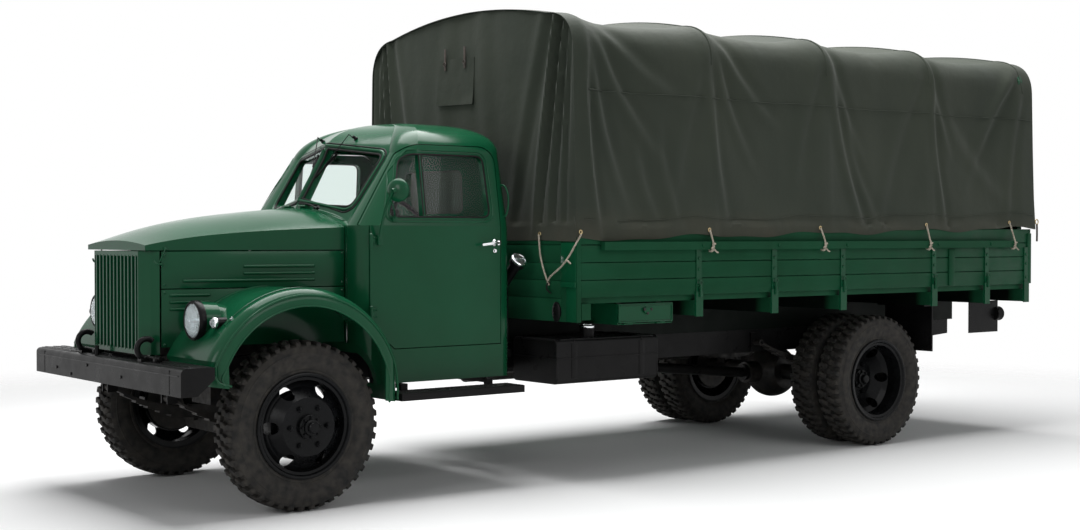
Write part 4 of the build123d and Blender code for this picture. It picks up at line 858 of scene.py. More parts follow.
def wiper(name, spindle, elbow, blade_low, blade_high):
    """A wiper from its spindle: a bent arm of spring wire with a rubber blade in a pressed back."""
    lift = Vector((0.02, 0, 0.004))
    middle = (Vector(blade_low) + Vector(blade_high)) / 2
    boss = round_piece("boss", [(0.013, -0.004), (0.013, 0.006), (0.009, 0.01), (0.008, 0.026),
                                (0.003, 0.028)], spindle, (0.8, 0, 0.6), 20)
    arm = bar_piece(name, [Vector(spindle) + lift * 0.9, Vector(elbow) + lift, middle + lift], 0.0034,
                    smooth=False)
    back = bar_piece("back", [Vector(blade_high) + lift * 0.7, Vector(blade_low) + lift * 0.7], 0.0052,
                     smooth=False)
    clip = bar_piece("clip", [middle + lift * 1.1, middle + lift * 0.5], 0.0075)
    finish_piece(joined(arm, boss, back, clip), chassis_enamel)
    blade = bar_piece(f"{name}_blade", [Vector(blade_high) + lift * 0.42, Vector(blade_low) + lift * 0.42],
                      0.0036, smooth=False)
    return finish_piece(blade, rubber_seal)


for side, sign in sides:
    wiper(f"wiper_{side}", spot(-0.739, sign * 0.193, 2.061), spot(-0.715, sign * 0.184, 2.083),
          spot(-0.565, sign * 0.032, 1.826), spot(-0.669, sign * 0.113, 1.972))


# Cowl vent
# An oval pressed lid on the cowl that a lever inside opens for air, with its small knob on top.

def cowl_top(station, y, lift=0.0):
    """The place on the cowl's top."""
    place, _ = on_skin("cab_shell", spot(station, y, 2.1), (0, 0, -1))
    return place + Vector((0, 0, lift))


def round_turns(count):
    """The angles of points evenly spaced round a circle."""
    return [2 * pi * step / count for step in range(count)]


vent_rings = []
for half_width, half_length, radius in ((0.15, 0.022, 0.0045), (0.13, 0.0154, 0.003)):
    oval = []
    for turn in round_turns(24):
        out, along = half_width * cos(turn), half_length * sin(turn)
        oval.append(cowl_top(-0.462 - 0.12 * out + along, 0.335 + out, 0.001))
    vent_rings.append(bar_piece("cowl_vent", oval, radius, smooth=False, closed=True))
finish_piece(joined(*vent_rings), green_enamel)
lever = bar_piece("cowl_lever", [cowl_top(-0.448, y, 0.012) for y in (0.02, 0.13, 0.245)], 0.0045)
knob = bar_piece("knob", [cowl_top(-0.448, 0.236, 0.01), cowl_top(-0.448, 0.252, 0.026)], 0.0095)
foot = bar_piece("foot", [cowl_top(-0.448, 0.205, -0.004), cowl_top(-0.448, 0.205, 0.014)], 0.008)
finish_piece(joined(lever, knob, foot), chassis_enamel)


# Doors
# Pressed skins over a folded frame. A rounded bead and a rubber seal run round each window, and the handle is
# plated.

window_corners = [(-0.612, 1.592), (-0.757, 1.95), (-1.296, 1.95), (-1.314, 1.592)]
window_radii = (0.03, 0.1, 0.05, 0.05)


def door_bead(name, grow, radius):
    """A closed bead round the left door's window, on its skin."""
    points = []
    for station, height in soft_loop(window_corners, window_radii, grow):
        place, _ = on_skin("door_left", spot(station, 1.0, height), (0, -1, 0))
        if place:
            points.append(place)
    return bar_piece(name, points, radius, smooth=False, closed=True)


def both_doors(piece, finish):
    """The piece on the left door and its mirror image on the right one."""
    other = mirrored(piece, piece.name.replace("left", "right"))
    finish_piece(other, finish, "door_right")
    return finish_piece(piece, finish, "door_left")


both_doors(joined(door_bead("window_beads_left", 0.03, 0.0065), door_bead("inner", 0.012, 0.005)),
           green_enamel)
bar_seals = [bar_piece("seal", [on_skin("door_left", spot(station, 1.0, 1.6 + 0.05 * step), (0, -1, 0))[0]
                                for step in range(8)], 0.004, smooth=False)
             for station in (-0.8465, -0.8635)]
both_doors(joined(door_bead("window_rubber_left", 0.002, 0.005), *bar_seals), rubber_seal)

handle_boss = round_piece(
    "door_handle_left", [(0.022, -0.001), (0.022, 0.005), (0.015, 0.012), (0.011, 0.028), (0.015, 0.034),
    (0.015, 0.046), (0.008, 0.05)], spot(-1.345, 0.77, 1.44), (0, 1, 0), 24)
lever = bar_piece("lever", spots((-1.35, 0.812, 1.44), (-1.3, 0.816, 1.437), (-1.228, 0.806, 1.428)),
                  0.0095)
lock = round_piece("lock", [(0.013, 0), (0.013, 0.004), (0.01, 0.007), (0.004, 0.006)],
                   spot(-1.345, 0.77, 1.392), (0, 1, 0), 20)
both_doors(joined(handle_boss, lever, lock), silver)
hinge_screws = []
for height in (1.452, 1.046):
    for offset, along in ((0.018, -0.5), (-0.018, -0.5), (0.018, -0.516), (-0.018, -0.516)):
        hinge_screws.append(round_piece("hinge_screws_left", [(0.006, 0), (0.006, 0.002), (0.003, 0.0045)],
                                        spot(along, 0.778, height + offset), (0, 1, 0), 10))
    cap = ringed("pin", [(0.0115, -0.039), (0.0115, 0.039), (0.007, 0.043)], 16)
    cap.location = spot(-0.477, 0.786, height)
    hinge_screws.append(cap)
both_doors(joined(*hinge_screws), green_enamel)


# Mirror
# A round convex glass in a spun steel back on the left door, on an arm from the upper hinge with a thin stay.

mirror_place, mirror_aim = spot(-0.552, 0.947, 1.734), (-0.87, -0.5, 0)
mirror_head = round_piece(
    "mirror_back", [(0.064, 0.012), (0.0655, 0.006), (0.065, -0.004), (0.06, -0.014), (0.045, -0.024),
    (0.022, -0.03), (0.006, -0.031)], mirror_place, mirror_aim, 48)
mirror_ball = bar_piece("ball", spots((-0.53, 0.96, 1.735), (-0.506, 0.96, 1.728)), 0.014)
mirror_arm = bar_piece("arm", spots((-0.53, 0.788, 1.452), (-0.526, 0.806, 1.5), (-0.514, 0.89, 1.65),
                                    (-0.508, 0.958, 1.728)), 0.0085)
mirror_foot = block_piece("foot", spot(-0.548, 0.772, 1.428), spot(-0.516, 0.798, 1.486), 0.004)
stay = bar_piece("stay", spots((-0.53, 0.888, 1.69), (-0.59, 0.84, 1.64), (-0.64, 0.776, 1.578)), 0.0042)
stay_foot = block_piece("foot", spot(-0.655, 0.766, 1.56), spot(-0.625, 0.78, 1.59), 0.003)
mirror_parts = joined(mirror_head, mirror_ball, mirror_arm, mirror_foot, stay, stay_foot)
finish_piece(mirror_parts, green_enamel, "door_left")
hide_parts("door_fittings_left")
mirror_glass = round_piece("mirror_glass", [(0.0595, 0.0105), (0.0592, 0.0128), (0.04, 0.015),
                                            (0.01, 0.0158)], mirror_place, mirror_aim, 48)
finish_piece(mirror_glass, silver, "door_left")


# Grab handles
# A bent steel rod on the cab's rear corner, painted with the cab, for climbing on to the load.

for side, sign in sides:
    grab = bar_piece(f"grab_handle_{side}", spots(
        (-1.425, sign * 0.724, 1.785), (-1.43, sign * 0.746, 1.782), (-1.438, sign * 0.768, 1.75),
        (-1.442, sign * 0.776, 1.69), (-1.438, sign * 0.774, 1.635), (-1.43, sign * 0.76, 1.598),
        (-1.425, sign * 0.738, 1.594)), 0.0058, 10)
    finish_piece(grab, green_enamel)


# Running boards
# Pressed chequer plate on brackets from the frame, black and scuffed.

for side, sign in sides:
    low, high = sorted((sign * 0.772, sign * 0.948))
    ribbed_plate(f"running_board_tread_{side}", spot(-1.43, low, 0.6), spot(-0.576, high, 0.603), 0.002)


# Fuel tank and fillers
# Two half shells of terne plate seamed along a flange and sprayed black, strapped into cradles. The caps are
# plated and turn on a bayonet ring.

tank_edges = [bar_piece("fuel_tank_trim", spots((-1.7, 0.948, 0.8555), (-2.446, 0.948, 0.8555)), 0.0055,
                        smooth=False)]
for station in (-1.6705, -2.4755):
    edge = spots((station, 0.545, 0.8535), (station, 0.93, 0.8535), (station, 0.955, 0.835),
                 (station, 0.958, 0.62))
    tank_edges.append(bar_piece("edge", edge, 0.0055, smooth=False))
# (y, height) of each strap's turn over the tank's shoulder
strap_bend = ((0.942, 0.86), (0.9535, 0.852), (0.96, 0.832))
for station in (-1.802, -2.344):
    tank_edges += [
        block_piece("strap", spot(station - 0.022, 0.52, 0.859), spot(station + 0.022, 0.944, 0.864)),
        block_piece("strap", spot(station - 0.022, 0.9585, 0.618), spot(station + 0.022, 0.963, 0.834)),
        bar_piece("bend", [spot(station, y, z) for y, z in strap_bend], 0.004)]
finish_piece(joined(*tank_edges), chassis_enamel)


def filler_cap(name, place, aim, radius):
    """A pressed cap with a turned-down, milled edge and a folded grip bar across its top."""
    cap = ringed(name, [(radius, 0), (radius + 0.002, 0.003), (radius + 0.002, 0.013),
                        (radius - 0.004, 0.018), (radius - 0.012, 0.0185), (radius - 0.015, 0.015),
                        (0.01, 0.0148)], 40)
    grip = block_piece("grip", (-radius * 0.72, -0.005, 0.013), (radius * 0.72, 0.005, 0.026), 0.0035)
    whole = facing(joined(cap, grip), aim)
    whole.location = place
    return finish_piece(whole, silver)


filler_cap("tank_cap", spot(-1.993, 0.85, 0.914), (0, 0, 1), 0.047)
filler_cap("cab_filler_cap", spot(-1.56, 0.723, 1.331), (0, 0.735, 0.678), 0.049)


# Tool box
# A folded steel box under the body, painted green, with a drop flap, a hasp and two bare iron knobs.

lid_rim = bar_piece(
    "tool_box_lid_trim", spots((-2.052, 1.0945, 0.957), (-2.473, 1.0945, 0.957), (-2.473, 1.0945, 1.055),
    (-2.052, 1.0945, 1.055)), 0.004, smooth=False)
hasp = block_piece("hasp", spot(-2.278, 1.092, 1.0), spot(-2.254, 1.097, 1.062), 0.002)
finish_piece(joined(lid_rim, hasp), green_enamel, "tool_box_lid")
knobs = [round_piece("tool_box_knobs", [(0.005, 0), (0.005, 0.008), (0.0085, 0.011), (0.0085, 0.016),
                                        (0.004, 0.019)], spot(station, 1.092, height), (0, 1, 0), 16)
         for station, height in ((-2.24, 1.03), (-2.296, 1.03), (-2.266, 1.006))]
finish_piece(joined(*knobs), rough_iron, "tool_box_lid")


# Irons and fastenings of the cargo body
# Forged straps tie the planks to the bearers. Coach bolts hold them, and drop pins lock the corners of the
# tailgate.

bearer_places = (-2.663, -3.345, -4.018, -5.0, -5.62, -6.11)


def node_span(name, axis):
    """The smallest and largest value of a CAD node along an axis."""
    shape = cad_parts[name]
    values = [(shape.matrix_world @ vertex.co)[axis] for vertex in shape.data.vertices]
    return min(values), max(values)


board_x, board_y, board_z = (node_span("side_boards", axis) for axis in range(3))
plank_height, plank_gap = (board_z[1] - board_z[0]) / 4, 0.0012
for side, sign in sides:
    low, high = sorted((sign * (board_y[1] - 0.0265), sign * board_y[1]))
    planks = []
    for number in range(4):
        foot = board_z[0] + plank_height * number
        planks.append(block_piece(f"side_planks_{side}", (board_x[0], low, foot + plank_gap),
                                  (board_x[1], high, foot + plank_height - plank_gap), 0.0062, 2))
    side_planks = finish_piece(joined(*planks), board_paint, "chassis", 30)
    if sign > 0:
        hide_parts("side_boards")
front_planks = [block_piece("front_planks", spot(-1.684, -0.986, low), spot(-1.6745, 0.986, high), 0.0035, 2)
                for low, high in ((0.972, 1.106), (1.109, 1.213), (1.216, 1.318), (1.321, 1.425),
                                  (1.428, 1.452))]
finish_piece(joined(*front_planks), board_paint, "chassis", 30)

board_heads = [(station, height) for station in bearer_places for height in (1.03, 1.06, 1.165, 1.27, 1.34)]
for side, sign in sides:
    bolts_at(f"iron_bolts_{side}", [spot(station, sign * 1.142, height) for station, height in board_heads],
             (0, sign, 0), 0.011, green_enamel)
    bolts_at(f"rail_bolts_{side}", [spot(station, sign * 1.18, 1.42) for station in bearer_places[:-1]],
             (0, sign, 0), 0.012, board_paint)
    pins = []
    for station in bearer_places[:-1]:
        along = station - 0.004
        pin_line = [spot(along, sign * 1.154, height) for height in (1.18, 1.098)]
        pin_ring = []
        for turn in round_turns(10):
            pin_ring.append(spot(along + 0.014 * cos(turn), sign * 1.156, 1.19 + 0.014 * sin(turn)))
        pins += [bar_piece(f"drop_pins_{side}", pin_line, 0.0085),
                 bar_piece("ring", pin_ring, 0.0032, closed=True)]
    finish_piece(joined(*pins), green_enamel)
    low, high = sorted((sign * 1.134, sign * 1.144))
    cleat = block_piece(f"cleats_{side}", spot(-5.24, low, 1.118), spot(-5.17, high, 1.384), 0.003)
    low, high = sorted((sign * 1.134, sign * 1.142))
    post = block_piece("post", spot(-6.176, low, 1.118), spot(-6.128, high, 1.5), 0.003)
    finish_piece(joined(cleat, post), board_paint)
    low, high = sorted((sign * 0.99, sign * 1.131))
    foot_low, foot_high = sorted((sign * 1.036, sign * 1.131))
    corner = joined(
        block_piece(f"front_corner_iron_{side}", spot(-1.682, low, 1.205), spot(-1.672, high, 1.44)),
        block_piece("foot", spot(-1.682, foot_low, 0.972), spot(-1.674, foot_high, 1.206)),
        block_piece("strap", spot(-1.682, low, 1.175), spot(-1.666, high, 1.207)))
    finish_piece(corner, green_enamel)
    oval = round_piece(f"front_reflector_{side}",
                       [(0.05, 0), (0.052, 0.004), (0.052, 0.012), (0.046, 0.016), (0.02, 0.0185)],
                       spot(-1.678, sign * 0.952, 1.026), (1, 0, 0), 36)
    oval.scale = (1, 0.72, 1.16)
    finish_piece(oval, chassis_enamel)
tail_heads = [(y, height) for y in (-0.86, -0.3, 0.3, 0.86) for height in (1.165, 1.27, 1.375, 1.47)]
bolts_at("tailgate_bolts", [spot(-6.189, y, height) for y, height in tail_heads], (-1, 0, 0), 0.011,
         green_enamel, "tailgate")
for y in (-0.86, -0.3, 0.3, 0.86):
    strap = block_piece("tailgate_strap", spot(-6.1925, y - 0.022, 1.118), spot(-6.1885, y + 0.022, 1.5))
    finish_piece(strap, green_enamel, "tailgate")


# Tail lamps
# Round lamps in pressed housings on the rear brackets.

red_glass = new_finish(
    "red_glass", {"Roughness": 0.08, "Coat Weight": 0.6},
    (60.0, (0.2, 0.004, 0.004), (0.34, 0.008, 0.006)))
for side, sign in sides:
    tail_place = spot(-6.094, sign * 0.9, 0.88)
    housing = round_piece(
        f"tail_lamp_{side}", [(0.044, -0.05), (0.05, -0.044), (0.052, -0.01), (0.055, 0.0), (0.055, 0.008),
        (0.047, 0.01)], tail_place, (-1, 0, 0))
    finish_piece(housing, chassis_enamel)
    lens = round_piece(f"tail_lens_{side}", [(0.0475, 0.004), (0.047, 0.012), (0.036, 0.02),
                                             (0.01, 0.025)], tail_place, (-1, 0, 0))
    finish_piece(lens, red_glass)


# Seat
# A sprung bench and its backrest, covered in leathercloth with pleats and a piped edge.

cushion_box, backrest_box = ((-1.37, -0.88), 0.64, (1.06, 1.19)), ((-1.462, -1.374), 0.64, (1.192, 1.56))


def padded_piece(name, stations, half, heights, face):
    """A pad that fills a box: pleats are pressed into the named face and every edge is round."""
    deselect()
    middle = spot(sum(stations) / 2, 0, sum(heights) / 2)
    size = (stations[1] - stations[0], 2 * half, heights[1] - heights[0])
    bpy.ops.mesh.primitive_cube_add(size=1, location=middle, scale=size)
    pad = bpy.context.object
    pad.name = name
    bpy.ops.object.transform_apply(location=True, scale=True)
    edit_whole()
    bpy.ops.mesh.subdivide(number_cuts=40)
    bpy.ops.object.mode_set(mode="OBJECT")
    modify(pad, "BEVEL", width=0.022, segments=3, limit_method="ANGLE", angle_limit=radians(50))
    for vertex in pad.data.vertices:
        place = vertex.co - middle
        shares = [abs(part) / (length / 2) for part, length in zip(place, size)]
        swell = 1.0
        for axis in range(3):
            if axis != face:
                swell *= max(0.0, 1 - shares[axis] ** 6)
        pleat = abs(sin(place.y / 0.16 * pi)) ** 0.35
        if place[face] > 0 and shares[face] > 0.7:
            vertex.co[face] += swell * (0.012 * pleat - 0.016)
        vertex.co += vertex.normal * 0.0012 * noise.noise(vertex.co * 11)
    return finish_piece(pad, seat_cloth, "chassis", 50)


seat_cushion = padded_piece("seat_cushion", *cushion_box, 2)
seat_backrest = padded_piece("seat_backrest", *backrest_box, 0)
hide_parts("seat_pads")
for name, station, height in (("cushion_piping", -0.884, 1.184), ("backrest_piping", -1.38, 1.553)):
    piping = bar_piece(name, spots((station, -0.614, height), (station, 0.614, height)), 0.005, smooth=False)
    finish_piece(piping, seat_cloth)


# Instruments
# Three dials in plated bezels in front of the driver. The moulded steering wheel is the CAD model's own,
# painted black with the chassis.

for number, (y, radius) in enumerate(((0.25, 0.048), (0.35, 0.06), (0.45, 0.048))):
    dial_place = spot(-0.64, y, 1.42)
    dial = round_piece(f"dial_{number}", [(radius - 0.006, 0.001), (radius - 0.006, 0.0035), (0.006, 0.004)],
                       dial_place, (-1, 0, 0), 32)
    finish_piece(dial, chassis_enamel)
    bezel = round_piece(
        f"dial_bezel_{number}", [(radius, -0.001), (radius, 0.007), (radius - 0.005, 0.008),
        (radius - 0.008, 0.004), (radius - 0.008, -0.001), (radius, -0.001)], dial_place, (-1, 0, 0), 32)
    finish_piece(bezel, silver)


# Canvas canopy
# Heavy waterproofed canvas, dark olive grey, hung over five bows: one long sheet for roof and sides, with a
# sewn horizontal seam on each side, a bleached hem, and creases that run from the bows down to the ties.

canvas = new_finish(
    "canvas", {"Roughness": 0.72, "IOR": 1.25, "Sheen Weight": 0.08},
    (1.3, (0.031, 0.039, 0.029), (0.043, 0.051, 0.037), 7))
tree = canvas.node_tree
place = truck_place(tree)
shader = tree.nodes["Principled BSDF"]
olive = shader.inputs["Base Color"].links[0].from_socket
hem_stain = low_share(tree, place, 1.44, 1.66, 0.75, (5, 6))
fill(tree, shader, {"Base Color": mixed(tree, hem_stain, olive, (0.085, 0.072, 0.052, 1))})
weave = add_node(tree, "TexNoise", {"Scale": 520, "Vector": place})
cockle = add_node(tree, "TexNoise", {"Scale": 9, "Detail": 6, "Vector": place})
both = add_node(tree, "Math", {0: cockle.outputs["Fac"], 1: 8, 2: weave.outputs["Fac"]},
                operation="MULTIPLY_ADD")
relief(tree, both.outputs[0], 0.35, 0.0016)

bow_x = [front_axle_x + x for x in (-1.742, -2.78, -3.86, -4.95, -6.08)]
canopy_front_x, canopy_rear_x = 1.055, -3.493
hem_half, wall_half, hem_height, wall_top = 1.149, 1.12, 1.458, 2.56
crown_height, shoulder_height, shoulder_half = 2.922, 2.832, 0.86
body_front, body_side, body_top = 1.049, 1.1395, 1.56


def half_section():
    """Points (y, z) from the hem over the shoulder to the crown, evenly spaced along the cloth."""
    corner = (wall_half - 0.004, shoulder_height - 0.012)
    climb = [step / 40 for step in range(41)]
    points = [(hem_half + (wall_half - hem_half) * share, hem_height + (wall_top - hem_height) * share)
              for share in climb]
    for step in range(1, 31):
        t = step / 30
        y = (1 - t) ** 2 * wall_half + 2 * t * (1 - t) * corner[0] + t ** 2 * shoulder_half
        z = (1 - t) ** 2 * wall_top + 2 * t * (1 - t) * corner[1] + t ** 2 * shoulder_height
        points.append((y, z))
    for step in range(1, 41):
        y = shoulder_half * (1 - step / 40)
        rise = (crown_height - shoulder_height) * (1 - (y / shoulder_half) ** 2)
        points.append((y, shoulder_height + rise))
    lengths = [0.0]
    for before, after in zip(points, points[1:]):
        lengths.append(lengths[-1] + hypot(after[0] - before[0], after[1] - before[1]))
    return points, lengths


section_points, section_lengths = half_section()
half_girth = section_lengths[-1]


def clamped(share):
    """A share held between 0 and 1."""
    return min(1.0, max(0.0, share))


def bell(distance):
    """A smooth hump that is 1 in its middle."""
    return 2.718 ** (-distance * distance)


def on_section(distance):
    """(y, z) and the outward direction at a distance along the half section from the hem."""
    distance = min(max(distance, 0.0), half_girth - 1e-6)
    index = next(i for i in range(1, len(section_lengths)) if section_lengths[i] > distance)
    share = (distance - section_lengths[index - 1]) / (section_lengths[index] - section_lengths[index - 1])
    (y0, z0), (y1, z1) = section_points[index - 1], section_points[index]
    run = hypot(y1 - y0, z1 - z0)
    return y0 + share * (y1 - y0), z0 + share * (z1 - z0), (z1 - z0) / run, -(y1 - y0) / run


# bow number, (metres behind the bow, height) at the top, the same at the bottom, width, depth
creases = [
    (0, 0.05, 2.74, 0.52, 2.05, 0.045, 0.02), (0, 0.03, 2.7, 0.27, 1.8, 0.04, 0.018),
    (0, 0.0, 2.7, 0.1, 1.5, 0.035, 0.022), (0, 0.1, 2.76, 0.7, 2.35, 0.05, 0.014),
    (0, 0.42, 2.0, 0.62, 1.48, 0.045, 0.012), (0, 0.62, 2.1, 0.75, 1.52, 0.04, 0.01),
    (1, 0.04, 2.76, 0.5, 2.28, 0.045, 0.018), (1, 0.02, 2.72, 0.33, 2.02, 0.04, 0.016),
    (1, -0.02, 2.7, 0.12, 1.6, 0.04, 0.014), (1, -0.04, 2.66, -0.34, 1.62, 0.06, 0.011),
    (2, 0.04, 2.78, 0.3, 2.15, 0.042, 0.019), (2, 0.01, 2.7, 0.36, 1.52, 0.048, 0.022),
    (2, -0.04, 2.7, -0.28, 1.9, 0.055, 0.012), (2, 0.2, 2.3, 0.48, 1.6, 0.04, 0.012),
    (3, 0.03, 2.78, 0.2, 2.2, 0.04, 0.018), (3, 0.02, 2.72, 0.18, 1.5, 0.042, 0.02),
    (3, -0.06, 2.72, -0.52, 1.62, 0.06, 0.012), (3, 0.26, 2.3, 0.85, 1.7, 0.07, 0.01),
    (4, -0.08, 2.72, -0.6, 1.95, 0.06, 0.016), (4, -0.04, 2.74, -0.4, 2.3, 0.045, 0.012),
    (4, -0.02, 2.6, -0.2, 1.56, 0.045, 0.012),
]


def crease_lift(x, z, side):
    """How far the creases lift a point of a side wall, in metres."""
    lift = 0.0
    for bow, top_x, top_z, low_x, low_z, width, depth in creases:
        slide = 0.0 if side > 0 else 0.09 * sin(7.0 * top_z + 3.0 * bow)
        ax, bx = bow_x[bow] - top_x, bow_x[bow] - low_x - slide
        run_x, run_z = bx - ax, low_z - top_z
        run = hypot(run_x, run_z)
        along = ((x - ax) * run_x + (z - top_z) * run_z) / run
        if not -0.1 < along < run + 0.25:
            continue
        across = ((x - ax) * run_z - (z - top_z) * run_x) / run
        bow_out = 0.03 * sin(pi * along / run)
        t = (across + bow_out) / width
        ends = clamped((along + 0.1) / 0.22) * clamped((run + 0.25 - along) / 0.5)
        lift += depth * ends * (bell(t) - 0.75 * bell(t - 1.5))
    return lift


def between_bows(x):
    """0 on a bow, 1 midway between two, and a rise towards the two ends."""
    if x >= bow_x[0]:
        return 0.1 * min(1.0, (x - bow_x[0]) / 0.08)
    if x <= bow_x[-1]:
        return 0.12 * min(1.0, (bow_x[-1] - x) / 0.13)
    for ahead, behind in zip(bow_x, bow_x[1:]):
        if behind <= x <= ahead:
            share = clamped((ahead - 0.034 - x) / (ahead - behind - 0.068))
            return 1.0 - abs(2.0 * share ** 0.85 - 1.0) ** 2.2
    return 0.0


def canopy_point(x, distance, side):
    """A point of the long sheet, with its sag, creases and slack."""
    y, z, out_y, out_z = on_section(distance)
    slack = between_bows(x)
    on_roof = clamped((distance - 1.2) / 0.35)
    sag = slack * (0.012 + 0.038 * on_roof)
    if distance < 1.25:
        sag += 0.02 * slack * sin(pi * min(1.0, distance / 1.25)) ** 2
    waves = noise.noise(Vector((x * 1.7, distance * 0.8 + side * 7.0, 3.0))) * 0.012
    waves += noise.noise(Vector((x * 6.0, distance * 2.2 + side * 5.0, 1.0))) * 0.0045
    hem_wave = 0.01 * sin(x * 9.0 + side) * max(0.0, 1 - distance / 0.25)
    lift = crease_lift(x, z, side) * clamped((1.5 - distance) / 0.25)
    off = waves * (0.12 + 0.88 * slack) + lift + hem_wave - sag - 0.003 - 0.009 * slack
    hem_rise = 0.083 * clamped((canopy_front_x - x) / (canopy_front_x - canopy_rear_x))
    hem_share = max(0.0, 1 - distance / 1.1)
    scallop = 0.012 * sin(x * 5.8 + 1.0) + 0.006 * sin(x * 13.0)
    wide, high = y + out_y * off, z + out_z * off + (hem_rise + scallop) * hem_share
    if high < body_top:
        wide = max(wide, body_side)
    return Vector((x, side * wide, high))


def sewn_sheet(name, columns, rows, shape):
    """A canvas sheet: a grid whose points follow a rule of two shares from 0 to 1, made 4 mm thick."""
    deselect()
    bpy.ops.mesh.primitive_grid_add(x_subdivisions=columns, y_subdivisions=rows, size=2, location=(0, 0, 0))
    sheet = bpy.context.object
    sheet.name = name
    for vertex in sheet.data.vertices:
        vertex.co = shape((vertex.co.x + 1) / 2, (vertex.co.y + 1) / 2)
    modify(sheet, "SOLIDIFY", thickness=0.004, offset=-1)
    outward(sheet)
    return finish_piece(sheet, canvas)


def long_sheet(u, v):
    """The roof and sides: u runs from the rear to the front, v from the right hem to the left one."""
    x = canopy_rear_x + u * (canopy_front_x - canopy_rear_x)
    girth = (2 * v - 1) * half_girth
    side = 1 if girth >= 0 else -1
    return canopy_point(x, half_girth - abs(girth), side)


canopy_sheet = sewn_sheet("canopy_sheet", 230, 180, long_sheet)


def front_fold(y, z):
    """Depth of the gathered folds of the front wall at its two corners, in metres."""
    depth = 0.0
    # y at the top, y at the hem, width, depth
    for top_y, low_y, width, deep in ((0.97, 0.76, 0.03, 0.058), (1.03, 0.9, 0.024, 0.04),
                                      (0.88, 0.52, 0.05, 0.022), (1.06, 1.02, 0.02, 0.024),
                                      (0.3, 0.42, 0.09, 0.01), (-0.1, -0.16, 0.11, 0.009)):
        share = clamped((2.8 - z) / 1.34)
        for side in (1, -1):
            centre = side * (top_y + (low_y - top_y) * share)
            t = (y - centre) / width
            strength = deep * (0.35 + 0.65 * (1 - share)) if side > 0 else 0.7 * deep
            depth += strength * (bell(t) - 0.55 * bell(t + 1.4 * side))
    return depth


def front_sheet(u, v):
    """The front wall: u runs across the truck, v from the hem to the roof."""
    limit = hem_half - 0.016 + (wall_half - hem_half) * min(1.0, v * 1.6)
    y = (2 * u - 1) * limit
    roof = roof_height(abs(y))
    low = 1.452 + 0.01 * noise.noise(Vector((y * 2.2, 0.0, 5.0)))
    z = low + v * (roof - low)
    belly = 0.016 * sin(pi * u) * sin(pi * v) + 0.01 * noise.noise(Vector((y * 1.4, z * 1.2, 9.0)))
    ripples = 0.004 * noise.noise(Vector((y * 7.0, z * 2.0, 4.0)))
    x = canopy_front_x - 0.01 - front_fold(y, z) + belly + ripples
    return Vector((max(x, body_front) if z < body_top else x, y, z))


def roof_height(y):
    """Height of the roof's underside at a distance from the middle of the truck."""
    for (y0, z0), (y1, z1) in zip(section_points, section_points[1:]):
        if y1 <= y <= y0 and z1 > 2.0:
            share = (y0 - y) / (y0 - y1) if y0 > y1 else 0.0
            return z0 + share * (z1 - z0) - 0.016
    return wall_top


canopy_front_sheet = sewn_sheet("canopy_front_sheet", 150, 90, front_sheet)


def rear_sheet(u, v):
    """The rear curtain, which hangs inside the tailgate."""
    y = (2 * u - 1) * 1.072
    roof = roof_height(abs(y)) - 0.02
    z = 1.3 + v * (roof - 1.3)
    drape = 0.014 * sin(y * 14.0 + 2 * noise.noise(Vector((y * 2.0, z, 0.0)))) * (1 - 0.8 * v)
    return Vector((-3.4 + drape, y, z))


canopy_rear_sheet = sewn_sheet("canopy_rear_sheet", 110, 60, rear_sheet)
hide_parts("canopy")


# Window flap, seams and ropes of the canopy
# The front wall has a small window under a canvas flap with two leather straps. Brass eyelets line the hem,
# and hemp ties run from them to the rail and to a hook at the front corner.

def flap_sheet(u, v):
    """The flap over the window: u across, v from its lower edge up."""
    y = -0.29 + 0.405 * u
    z = 2.335 - 0.012 * u + v * 0.3
    curl = 0.016 * (1 - v) ** 2 * (1 - 0.6 * sin(pi * u)) + 0.003 * noise.noise(Vector((y * 12, z * 9, 2.0)))
    return Vector((canopy_front_x + 0.004 + curl, y, z))


window_flap = sewn_sheet("window_flap", 44, 34, flap_sheet)

strap_leather = new_finish(
    "strap_leather", {}, (40.0, (0.02, 0.014, 0.01), (0.042, 0.028, 0.018)), (60.0, 0.45, 0.7))
for number, y in enumerate((-0.2, 0.02)):
    strap = block_piece(f"flap_strap_{number}", (1.064, y - 0.01, 2.56), (1.068, y + 0.01, 2.7), 0.001)
    oval = [(1.07, y + 0.016 * cos(turn), 2.6 + 0.012 * sin(turn)) for turn in round_turns(10)]
    buckle = bar_piece("buckle", oval, 0.0026, closed=True)
    finish_piece(joined(strap, buckle), strap_leather)


def wall_place(x, height, lift=0.006, side=1):
    """A place on the long sheet's side wall at a given height, lifted off the cloth."""
    share = min(half_girth, max(0.01, height - hem_height))
    return canopy_point(x, share, side) + Vector((0, side * lift, 0))


seam_welts = []
for side in (1, -1):
    for front_gap, height, radius in ((0.1, 2.35, 0.0045), (0.06, 1.575, 0.003)):
        lower, upper = canopy_rear_x + 0.03, canopy_front_x - front_gap
        seam = [wall_place(lower + (upper - lower) * step / 60, height, 0.0015, side) for step in range(61)]
        seam_welts.append(bar_piece("canopy_seams", seam, radius, 4, smooth=False))
for place_x in bow_x[1:]:
    for side in (1, -1):
        girths = [half_girth * (0.46 + 0.54 * step / 30) for step in range(31)]
        welt = [canopy_point(place_x - 0.006, girth, side) + Vector((0, 0, 0.002)) for girth in girths]
        seam_welts.append(bar_piece("bow_welt", welt, 0.006, 4, smooth=False))
finish_piece(joined(*seam_welts), canvas)

